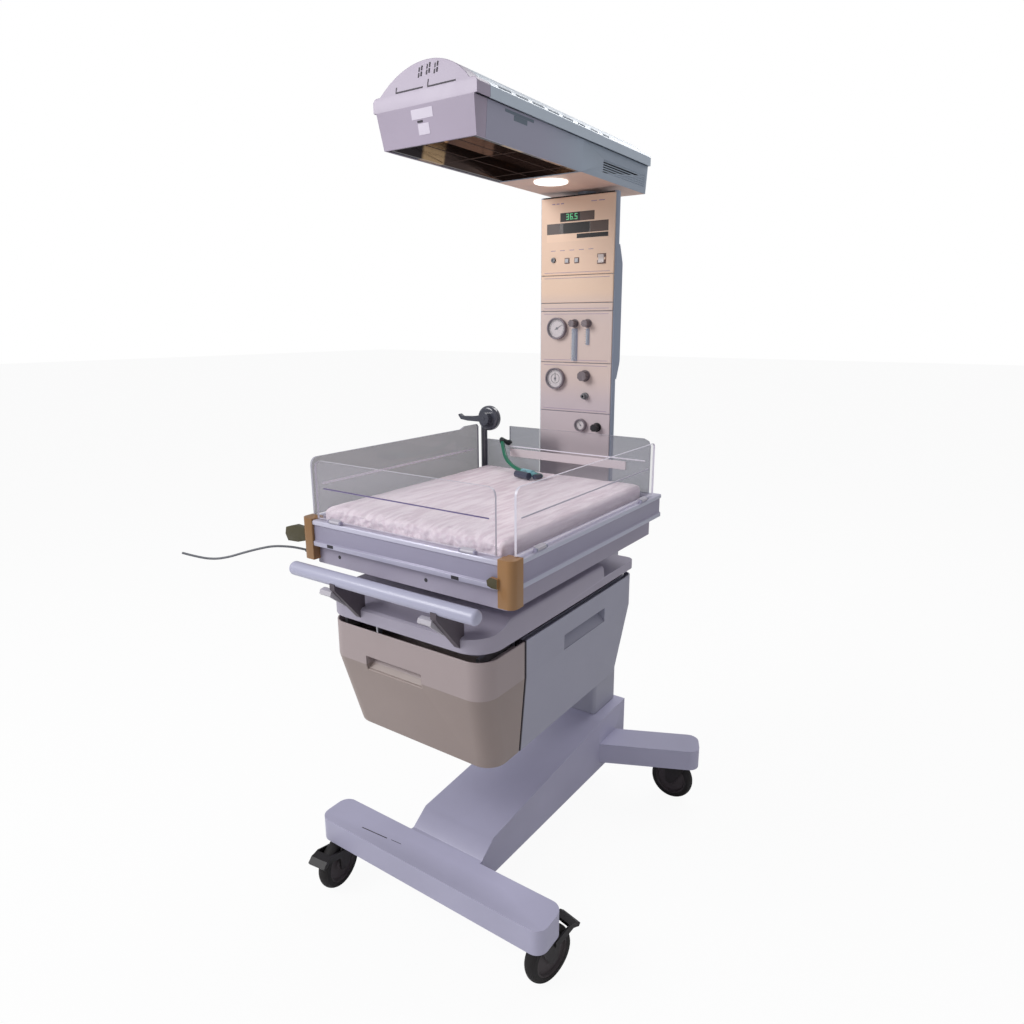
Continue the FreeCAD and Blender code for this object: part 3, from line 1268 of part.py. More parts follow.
def hood():
    """Hood shells, front cap, bottom plate with bearing stub, reflector, heater and lamp."""
    outer = hood_block(0)
    inner = hood_block(hood_wall)
    skin = outer.cut(inner)
    cap_rear = cap_front_y + cap_depth
    upper_zone = block((-beyond, beyond), (cap_rear, beyond), (hood_belt_z, beyond))
    lower_zone = block((-beyond, beyond), (cap_rear, beyond), (0, hood_belt_z))
    cap_zone = block((-beyond, beyond), (-beyond, cap_rear), (0, beyond))
    top = skin.common(upper_zone)
    slots = []
    for index in range(8):
        y = cap_rear + 45 * index
        for sign in (-1, 1):
            x = sign * (hood_belt_half - 3)
            slots.append(block((x - 1.5, x + 1.5), (y, y + 26), (hood_shoulder_z - 6, beyond)))
    save("top_cover", top.cut(slots))
    cap = skin.common(cap_zone)
    marks = []
    for x, z, width, height in ((-66.5, 7, 3, 24), (-66.5, 6, 66, 3), (10, 6, 67, 3), (10, 6, 3, 17),
                                (-12, -47, 12, 2)):
        marks.append(block((x, x + width), (cap_front_y - 5, cap_front_y + 1.2),
                           (hood_shoulder_z + z, hood_shoulder_z + z + height)))
    save("front_cap", cap.cut(marks).removeSplitter())
    lower = skin.common(lower_zone)
    wall_zone = block((-beyond, beyond), (cap_rear, reflector_rear_y), (0, hood_belt_z))
    walls = lower.common(wall_zone)
    sides = []
    for sign in (-1, 1):
        half = block((0, beyond), (-beyond, beyond), (0, beyond))
        sides.append(walls.common(half if sign > 0 else mirrored(half)))
    floor = outer.common(block((-beyond, beyond), (reflector_rear_y, beyond),
                               (hood_bottom_z, hood_bottom_z + hood_wall)))
    lamp_hole = rod(V(0, lamp_y, hood_bottom_z - 1), V(0, lamp_y, hood_bottom_z + 10), lamp_radius - 3)
    stub = rod(V(0, pivot_y, column_top_z - 8), V(0, pivot_y, hood_bottom_z + 1), pivot_radius)
    tail_zone = block((-beyond, beyond), (reflector_rear_y, beyond), (hood_bottom_z, hood_belt_z))
    partition = outer.common(block((-beyond, beyond), (reflector_rear_y, reflector_rear_y + hood_wall),
                                   (hood_bottom_z, hood_belt_z)))
    tail = join([lower.common(tail_zone), floor, partition]).cut(lamp_hole).fuse(stub).removeSplitter()
    louvres = []
    for index in range(6):
        z = hood_bottom_z + 15 + 5 * index
        for sign in (-1, 1):
            x = sign * hood_bottom_half
            louvres.append(block((x - 12, x + 12), (hood_rear_y - 240, hood_rear_y - 14), (z, z + 2)))
    inside = hood_bottom_half - 2.7
    sides_cut = block((-inside, inside), (0, beyond), (0, beyond))
    grille = join(louvres).cut(sides_cut)
    shallow = outer.cut(hood_block(1.2))
    save("lower_shell", sides + [tail.cut(grille.common(shallow))])
    reflector(inner)
    lens = rod(V(0, lamp_y, hood_bottom_z), V(0, lamp_y, hood_bottom_z - 4), lamp_radius)
    rim = [e for e in lens.Edges if abs(e.CenterOfMass.z - hood_bottom_z + 4) < 0.01]
    save("lamp_lens", lens.makeFillet(2.5, rim))


def reflector(inner):
    """Folded trough over the heater, open below, and the heater rod with its end blocks."""
    low_z = hood_bottom_z + 2
    top_z = low_z + reflector_rise
    y = (hood_front_y + hood_wall + 8, reflector_rear_y - reflector_wall)
    fold = [(reflector_half, low_z), (reflector_half - 10, low_z + 42),
            (reflector_half - 42, top_z - 8), (0, top_z)]
    strips = []
    for index in range(3):
        a = fold[index]
        b = fold[index + 1]
        skew = reflector_wall
        lift = skew if index else 0
        out = 0 if index else skew
        quad = [(a[0], a[1]), (b[0], b[1]), (b[0] + out, b[1] + lift), (a[0] + out, a[1] + lift)]
        strip = prism_y(quad, y)
        strips.extend([strip, mirrored(strip)])
    whole = strips[:4] + [strips[4].fuse(strips[5]).removeSplitter()]
    for sign in (-1, 1):
        x = sorted((sign * (reflector_half + reflector_wall), sign * (hood_belt_half + 10)))
        flange = inner.common(block(x, (y[0], reflector_rear_y), (low_z, low_z + reflector_wall)))
        whole.append(flange)
    profile = [(reflector_half, low_z)] + fold[1:] + [(-x, z) for x, z in fold[2::-1]]
    for near, far in ((y[0] - reflector_wall, y[0]), (y[1], y[1] + reflector_wall)):
        whole.append(prism_y(profile, (near, far)))
    save("reflector", whole)
    blocks = []
    for near, far in ((y[0], y[0] + 12), (y[1] - 12, y[1])):
        blocks.append(block((-12, 12), (near, far), (heater_z - 10, heater_z + 12)))
    rod_shape = rod(V(0, y[0] + 6, heater_z), V(0, y[1] - 6, heater_z), heater_radius)
    save("heater_element", join([rod_shape] + blocks))


def main():
    """Build and save every sub-part."""
    os.makedirs("parts", exist_ok=True)
    base_frame()
    post()
    for name in swivels:
        caster(name, name.startswith("front"))
    outer = tub(0, tub_top_z, tub_bottom_z)
    inner = tub(tub_wall, tub_top_z + 1, tub_bottom_z + tub_wall)
    front_drawer(outer, inner)
    side_drawer(outer, inner)
    cabinet_shell(outer, inner)
    drawer_runners()
    hooks(outer)
    tray = chassis_tray()
    handle_bar()
    bar_brackets(tray)
    squeeze_levers()
    bed_frame()
    bed_pan()
    left_post = corner_posts()
    mattress()
    side_panels()
    front_panel()
    rear_panel()
    tilt_yoke()
    clamp()
    hose_and_fittings(left_post)
    column_cover()
    controls()
    hood()


main()
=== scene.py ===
import json
import math
from contextlib import contextmanager

import bmesh
import bpy
from mathutils import Matrix, Vector, noise


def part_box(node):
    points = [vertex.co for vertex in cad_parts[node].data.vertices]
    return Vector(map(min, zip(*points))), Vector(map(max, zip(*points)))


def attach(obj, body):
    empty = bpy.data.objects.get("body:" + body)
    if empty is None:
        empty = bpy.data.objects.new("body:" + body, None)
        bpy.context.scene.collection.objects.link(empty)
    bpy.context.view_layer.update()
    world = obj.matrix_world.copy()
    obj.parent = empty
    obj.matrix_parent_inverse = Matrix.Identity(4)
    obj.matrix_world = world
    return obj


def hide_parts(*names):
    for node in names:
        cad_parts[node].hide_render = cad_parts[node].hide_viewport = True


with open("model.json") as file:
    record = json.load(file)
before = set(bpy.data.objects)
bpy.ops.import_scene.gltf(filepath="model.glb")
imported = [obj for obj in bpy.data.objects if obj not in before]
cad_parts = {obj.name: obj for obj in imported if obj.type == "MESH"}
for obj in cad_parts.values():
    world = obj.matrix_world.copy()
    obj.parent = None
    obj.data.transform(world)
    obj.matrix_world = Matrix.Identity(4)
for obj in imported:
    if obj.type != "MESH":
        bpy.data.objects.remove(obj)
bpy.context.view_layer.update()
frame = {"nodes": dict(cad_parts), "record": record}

scene = bpy.context.scene
scene.view_settings.view_transform = "Standard"

weld_distance = 2e-5
flat_turn = math.radians(0.6)
no_step = (0.0, 0.0, 0.0)


def set_camera():
    """The photograph's camera, found from the edges and wheels in it."""
    look_down, turn_left = 13.61, 33.904
    data = bpy.data.cameras.new("photo_camera")
    data.sensor_width = 36.0
    data.lens = 25.27
    data.shift_x = -0.0102
    data.shift_y = -0.0125
    data.clip_end = 60.0
    camera = bpy.data.objects.new("photo_camera", data)
    camera.location = (0.9707, -1.4065, 1.3874)
    camera.rotation_euler = (math.radians(90 - look_down), 0.0, math.radians(turn_left))
    scene.collection.objects.link(camera)
    scene.camera = camera


set_camera()


def body_of_node(node):
    """The moving body that carries a CAD node."""
    for name, nodes in frame["record"]["behaviour"]["bodies"].items():
        if node in nodes:
            return name


@contextmanager
def opened(mesh):
    """A mesh open for edits, which it keeps at the end."""
    work = bmesh.new()
    work.from_mesh(mesh)
    yield work
    work.to_mesh(mesh)
    work.free()


def weld(work):
    """Joins loose corners, and faces that lie flat beside each other."""
    bmesh.ops.remove_doubles(work, verts=work.verts, dist=weld_distance)
    bmesh.ops.dissolve_limit(work, angle_limit=flat_turn, verts=work.verts, edges=work.edges)


def shade_by_angle(mesh, degrees):
    """Smooth faces, with sharp edges where the form turns by more than an angle."""
    limit = math.radians(degrees)
    with opened(mesh) as work:
        for face in work.faces:
            face.smooth = True
        for edge in work.edges:
            edge.smooth = len(edge.link_faces) == 2 and edge.calc_face_angle(0) < limit


def new_piece(name, mesh, body, finish, smooth=None):
    """A piece in one finish that rides on a body; smooth is the shading's angle in degrees."""
    piece = bpy.data.objects.new(name, mesh)
    scene.collection.objects.link(piece)
    mesh.materials.clear()
    mesh.materials.append(finish)
    if smooth is not None:
        shade_by_angle(mesh, smooth)
    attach(piece, body)
    return piece


def node_copy(node):
    """The CAD node's mesh with its loose triangles welded and flat faces joined."""
    mesh = frame["nodes"][node].data.copy()
    with opened(mesh) as work:
        weld(work)
    mesh.validate()
    return mesh


def mesh_now(piece):
    """A new mesh of a piece as its modifiers leave it."""
    bpy.context.view_layer.update()
    depsgraph = bpy.context.evaluated_depsgraph_get()
    return bpy.data.meshes.new_from_object(piece.evaluated_get(depsgraph))


def settle(piece):
    """Makes a piece's modifiers its own mesh."""
    mesh = mesh_now(piece)
    piece.modifiers.clear()
    piece.data = mesh


def reshaped(mesh, kind, **settings):
    """A mesh as one modifier with these settings leaves it, under its old name."""
    name = mesh.name
    piece = bpy.data.objects.new(name, mesh)
    scene.collection.objects.link(piece)
    change = piece.modifiers.new(kind.lower(), kind)
    for setting, value in settings.items():
        setattr(change, setting, value)
    settle(piece)
    shaped = piece.data
    shaped.name = name
    bpy.data.objects.remove(piece)
    return shaped


def outer_shells(mesh):
    """The closed outer skins of a mesh of touching solids, without the hollows inside them."""
    work = bmesh.new()
    work.from_mesh(mesh)
    left = set(work.faces)
    shells = []
    while left:
        group = {left.pop()}
        front = list(group)
        while front:
            face = front.pop()
            for edge in face.edges:
                for near in edge.link_faces:
                    if near in left:
                        left.discard(near)
                        group.add(near)
                        front.append(near)
        one = bmesh.new()
        spots = {}
        for face in group:
            for vert in face.verts:
                if vert not in spots:
                    spots[vert] = one.verts.new(vert.co)
            one.faces.new([spots[vert] for vert in face.verts])
        if one.calc_volume(signed=True) > 0:
            shell = bpy.data.meshes.new("shell")
            one.to_mesh(shell)
            shells.append(shell)
        one.free()
    work.free()
    return shells


def united(node):
    """A CAD node of several touching solids as one skin, so that no seam shows between them."""
    shells = [bpy.data.objects.new("shell", shell) for shell in outer_shells(node_copy(node))]
    for shell in shells:
        scene.collection.objects.link(shell)
    for shell in shells[1:]:
        join = shells[0].modifiers.new("join", "BOOLEAN")
        join.operation = "UNION"
        join.solver = "EXACT"
        join.object = shell
    whole = mesh_now(shells[0])
    for shell in shells:
        bpy.data.objects.remove(shell)
    with opened(whole) as work:
        weld(work)
    return whole


def moulding_mesh(node, width, segments=2, one_skin=False):
    """A CAD node's form with rounded edges."""
    mesh = united(node) if one_skin else node_copy(node)
    mesh.name = node + "_moulding"
    return reshaped(mesh, "BEVEL", width=width, segments=segments, limit_method="ANGLE",
                    angle_limit=math.radians(32), use_clamp_overlap=True, miter_outer="MITER_ARC")


def softened(node, finish, width, segments=2, smooth=40, one_skin=False):
    """A CAD node as a moulding in one finish, whose large faces stay flat beside their edges."""
    mesh = moulding_mesh(node, width, segments, one_skin)
    shade_by_angle(mesh, smooth)
    mesh = reshaped(mesh, "WEIGHTED_NORMAL", keep_sharp=True)
    made = new_piece(node + "_moulding", mesh, body_of_node(node), finish)
    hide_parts(node)


def plain(node, finish, smooth=32):
    """A CAD node shown as it is, in its own finish."""
    made = new_piece(node + "_finish", node_copy(node), body_of_node(node), finish,
                     smooth)
    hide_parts(node)


def parted(node, parts, smooth=32, whole=None):
    """A CAD node's faces as pieces in different finishes.

    Each part is (label, test, finish), and its test takes a face's centre and normal. The last
    part has no test and takes what is left.
    """
    whole = whole or node_copy(node)
    choice = {}
    with opened(whole) as work:
        for face in work.faces:
            centre, normal = face.calc_center_median(), face.normal
            choice[face.index] = next(i for i, (label, test, finish) in enumerate(parts)
                                      if test is None or test(centre, normal))
    for i, (label, test, finish) in enumerate(parts):
        if i not in choice.values():
            continue
        mesh = whole.copy()
        mesh.name = node + "_" + label
        with opened(mesh) as work:
            away = [face for face in work.faces if choice[face.index] != i]
            bmesh.ops.delete(work, geom=away, context="FACES")
        made = new_piece(node + "_" + label, mesh, body_of_node(node), finish, smooth)
        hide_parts(node)
    bpy.data.meshes.remove(whole)


def box_mesh(low, high):
    """A block between two corners."""
    low, high = Vector(low), Vector(high)
    mesh = bpy.data.meshes.new("box")
    with opened(mesh) as work:
        bmesh.ops.create_cube(work, size=1.0)
        for vert in work.verts:
            vert.co = Vector([(low[i] + high[i]) / 2 + vert.co[i] * (high[i] - low[i])
                              for i in range(3)])
    return mesh


def rod_mesh(start, end, radius, sides=20, end_radius=None):
    """A round rod from one place to another, tapered where its end has another radius."""
    start, end = Vector(start), Vector(end)
    turn = (end - start).to_track_quat("Z", "Y").to_matrix().to_4x4()
    mesh = bpy.data.meshes.new("rod")
    with opened(mesh) as work:
        bmesh.ops.create_cone(work, cap_ends=True, segments=sides, radius1=radius,
                              radius2=radius if end_radius is None else end_radius,
                              depth=(end - start).length)
        bmesh.ops.transform(work, matrix=Matrix.Translation((start + end) / 2) @ turn,
                            verts=work.verts)
    return mesh


def merged(name, meshes):
    """Several meshes as one."""
    whole = bpy.data.meshes.new(name)
    with opened(whole) as work:
        for mesh in meshes:
            work.from_mesh(mesh)
    for mesh in meshes:
        bpy.data.meshes.remove(mesh)
    return whole


def fill(tree, node, sockets):
    """Gives a node's sockets their values, or links them to other nodes' outputs."""
    for key, value in sockets.items():
        if isinstance(value, bpy.types.NodeSocket):
            tree.links.new(value, node.inputs[key])
        else:
            node.inputs[key].default_value = value


def add(tree, kind, sockets=None, **settings):
    """A new node with its settings made and its sockets filled."""
    node = tree.nodes.new(kind)
    for setting, value in settings.items():
        setattr(node, setting, value)
    fill(tree, node, sockets or {})
    return node


def group_with(name, inputs, outputs):
    """An empty shader group with named inputs, given as (kind, value), and outputs."""
    tree = bpy.data.node_groups.new(name, "ShaderNodeTree")
    for label, (kind, value) in inputs.items():
        socket = tree.interface.new_socket(label, in_out="INPUT", socket_type="NodeSocket" + kind)
        socket.default_value = value
    for label, kind in outputs.items():
        tree.interface.new_socket(label, in_out="OUTPUT", socket_type="NodeSocket" + kind)
    return tree, tree.nodes.new("NodeGroupInput").outputs, tree.nodes.new("NodeGroupOutput")


def moulded_skin_group():
    """Colour drift, smudges, paler worn edges and fine grain of paint or plastic."""
    tree, given, end = group_with(
        "moulded_skin",
        {"Colour": ("Color", (0.5, 0.5, 0.5, 1)), "Drift": ("Float", 0.06),
         "Roughness": ("Float", 0.4), "Smudge": ("Float", 0.1),
         "Grain size": ("Float", 900.0), "Edge wear": ("Float", 0.15)},
        {"Colour": "Color", "Roughness": "Float", "Height": "Float"})
    place = add(tree, "ShaderNodeTexCoord").outputs["Object"]
    broad = add(tree, "ShaderNodeTexNoise", {"Vector": place, "Scale": 3.5, "Detail": 4.0})
    shade = add(tree, "ShaderNodeMapRange", {"Value": broad.outputs["Fac"], "From Min": 0.3,
                                             "From Max": 0.7, "To Min": -1.0})
    amount = add(tree, "ShaderNodeMath", {0: shade.outputs["Result"], 1: given["Drift"], 2: 1.0},
                 operation="MULTIPLY_ADD")
    toned = add(tree, "ShaderNodeVectorMath", {0: given["Colour"], "Scale": amount.outputs[0]},
                operation="SCALE")
    form = add(tree, "ShaderNodeNewGeometry")
    rim = add(tree, "ShaderNodeMapRange", {"Value": form.outputs["Pointiness"],
                                           "From Min": 0.53, "From Max": 0.62})
    rubbed = add(tree, "ShaderNodeMath", {0: rim.outputs["Result"], 1: given["Edge wear"]},
                 operation="MULTIPLY")
    worn = add(tree, "ShaderNodeVectorMath",
               {0: toned.outputs[0], 1: (1.6, 1.6, 1.6), 2: (0.01, 0.01, 0.01)},
               operation="MULTIPLY_ADD")
    paler = add(tree, "ShaderNodeMix", {"Factor": rubbed.outputs[0], "A": toned.outputs[0],
                                        "B": worn.outputs[0]}, data_type="RGBA")
    smear = add(tree, "ShaderNodeTexNoise", {"Vector": place, "Scale": 14.0, "Detail": 6.0,
                                             "Distortion": 1.2})
    rough = add(tree, "ShaderNodeMath", {0: smear.outputs["Fac"], 1: given["Smudge"],
                                         2: given["Roughness"]}, operation="MULTIPLY_ADD")
    grain = add(tree, "ShaderNodeTexNoise", {"Vector": place, "Scale": given["Grain size"],
                                             "Detail": 2.0})
    fill(tree, end, {"Colour": paler.outputs["Result"], "Roughness": rough.outputs[0],
                     "Height": grain.outputs["Fac"]})
    return tree


def band_group():
    """A mask that is 1 between two places along a direction of the piece."""
    tree, given, end = group_with(
        "band_between",
        {"Along": ("Vector", (0, 0, 1)), "Low": ("Float", 0.0), "High": ("Float", 1.0),
         "Fade": ("Float", 0.0003)}, {"Mask": "Float"})
    place = add(tree, "ShaderNodeTexCoord").outputs["Object"]
    reach = add(tree, "ShaderNodeVectorMath", {0: place, 1: given["Along"]},
                operation="DOT_PRODUCT")
    masks = []
    for edge, before, after in (("Low", 0.0, 1.0), ("High", 1.0, 0.0)):
        limits = {0: given[edge], 1: given["Fade"]}
        first = add(tree, "ShaderNodeMath", limits, operation="SUBTRACT")
        last = add(tree, "ShaderNodeMath", limits, operation="ADD")
        ramp = add(tree, "ShaderNodeMapRange",
                   {"Value": reach.outputs["Value"], "From Min": first.outputs[0],
                    "From Max": last.outputs[0], "To Min": before, "To Max": after},
                   interpolation_type="SMOOTHSTEP")
        masks.append(ramp.outputs["Result"])
    both = add(tree, "ShaderNodeMath", {0: masks[0], 1: masks[1]}, operation="MULTIPLY")
    fill(tree, end, {"Mask": both.outputs[0]})
    return tree


def woven_group():
    """Fine stripes along the mattress with soft creases."""
    tree, given, end = group_with(
        "woven_cover",
        {"Colour": ("Color", (0.8, 0.7, 0.8, 1)), "Stripe": ("Color", (0.7, 0.6, 0.7, 1)),
         "Stripes per metre": ("Float", 60.0)}, {"Colour": "Color", "Height": "Float"})
    place = add(tree, "ShaderNodeTexCoord").outputs["Object"]
    stretch = add(tree, "ShaderNodeMapping", {"Vector": place, "Scale": (1.0, 0.12, 1.0)})
    ripple = add(tree, "ShaderNodeTexNoise", {"Vector": stretch.outputs["Vector"], "Detail": 3.0,
                                              "Scale": given["Stripes per metre"]})
    sharp = add(tree, "ShaderNodeMapRange", {"Value": ripple.outputs["Fac"], "From Min": 0.42,
                                             "From Max": 0.62}).outputs["Result"]
    tint = add(tree, "ShaderNodeMix", {"Factor": sharp, "A": given["Colour"],
                                       "B": given["Stripe"]}, data_type="RGBA")
    crease = add(tree, "ShaderNodeTexNoise", {"Vector": place, "Scale": 22.0, "Detail": 5.0})
    blend = add(tree, "ShaderNodeMath", {0: sharp, 1: 0.35, 2: crease.outputs["Fac"]},
                operation="MULTIPLY_ADD")
    fill(tree, end, {"Colour": tint.outputs["Result"], "Height": blend.outputs[0]})
    return tree


skin = moulded_skin_group()
band = band_group()
woven = woven_group()


def base_material(name):
    """A new material, its tree and its shader."""
    material = bpy.data.materials.new(name)
    material.use_nodes = True
    return material, material.node_tree, material.node_tree.nodes["Principled BSDF"]


def linear(colour):
    """A colour as it is seen, 0 to 255, as the renderer's own numbers."""
    out = []
    for value in colour:
        v = value / 255
        out.append(v / 12.92 if v <= 0.04045 else ((v + 0.055) / 1.055) ** 2.4)
    return (*out, 1.0)


def moulded(name, colour, roughness=0.4, metallic=0.0, coat=0.0, drift=0.05, smudge=0.12,
            grain=900.0, bump=0.06, wear=0.1, bands=(), along=(0, 0, 1), fade=0.0003):
    """Paint or plastic; bands are (low, high, colour) stretches in another colour."""
    material, tree, shader = base_material(name)
    face = add(tree, "ShaderNodeGroup",
               {"Colour": linear(colour), "Drift": drift, "Roughness": roughness - smudge / 2,
                "Smudge": smudge, "Grain size": grain, "Edge wear": wear}, node_tree=skin)
    last = face.outputs["Colour"]
    for low, high, tint in bands:
        zone = add(tree, "ShaderNodeGroup", {"Along": along, "Fade": fade, "Low": low,
                                             "High": high}, node_tree=band)
        mix = add(tree, "ShaderNodeMix", {"Factor": zone.outputs["Mask"], "A": last,
                                          "B": linear(tint)}, data_type="RGBA")
        last = mix.outputs["Result"]
    relief = add(tree, "ShaderNodeBump", {"Strength": bump, "Distance": 0.0004,
                                          "Height": face.outputs["Height"]})
    fill(tree, shader, {"Base Color": last, "Roughness": face.outputs["Roughness"],
                        "Normal": relief.outputs["Normal"], "Metallic": metallic,
                        "Coat Weight": coat})
    return material


def clear_sheet(name, colour, flat=0.08, slanting=0.5, clear_middle=None):
    """Clear or smoked acrylic, denser at a slant; clear_middle is a stretch of X left clearer."""
    material, tree, shader = base_material(name)
    place = add(tree, "ShaderNodeTexCoord").outputs["Object"]
    haze = add(tree, "ShaderNodeTexNoise", {"Vector": place, "Scale": 6.0, "Detail": 5.0})
    tint = add(tree, "ShaderNodeMix",
               {"Factor": haze.outputs["Fac"], "A": linear(colour),
                "B": linear([value * 0.93 for value in colour])}, data_type="RGBA")
    slant = add(tree, "ShaderNodeLayerWeight", {"Blend": 0.25})
    cover = add(tree, "ShaderNodeMapRange", {"Value": slant.outputs["Facing"], "To Min": flat,
                                             "To Max": slanting})
    last = cover.outputs["Result"]
    if clear_middle:
        zone = add(tree, "ShaderNodeGroup", {"Along": (1, 0, 0), "Low": clear_middle[0],
                                             "High": clear_middle[1], "Fade": 0.004},
                   node_tree=band)
        thin = add(tree, "ShaderNodeMix", {"Factor": zone.outputs["Mask"], "A": last, "B": 0.06})
        last = thin.outputs["Result"]
    fill(tree, shader, {"Base Color": tint.outputs["Result"], "Roughness": 0.06, "Alpha": last})
    return material


def lit(name, colour, strength):
    """A surface that shines by itself."""
    material, tree, shader = base_material(name)
    fill(tree, shader, {"Base Color": linear(colour), "Emission Color": linear(colour),
                        "Emission Strength": strength, "Roughness": 0.3})
    return material


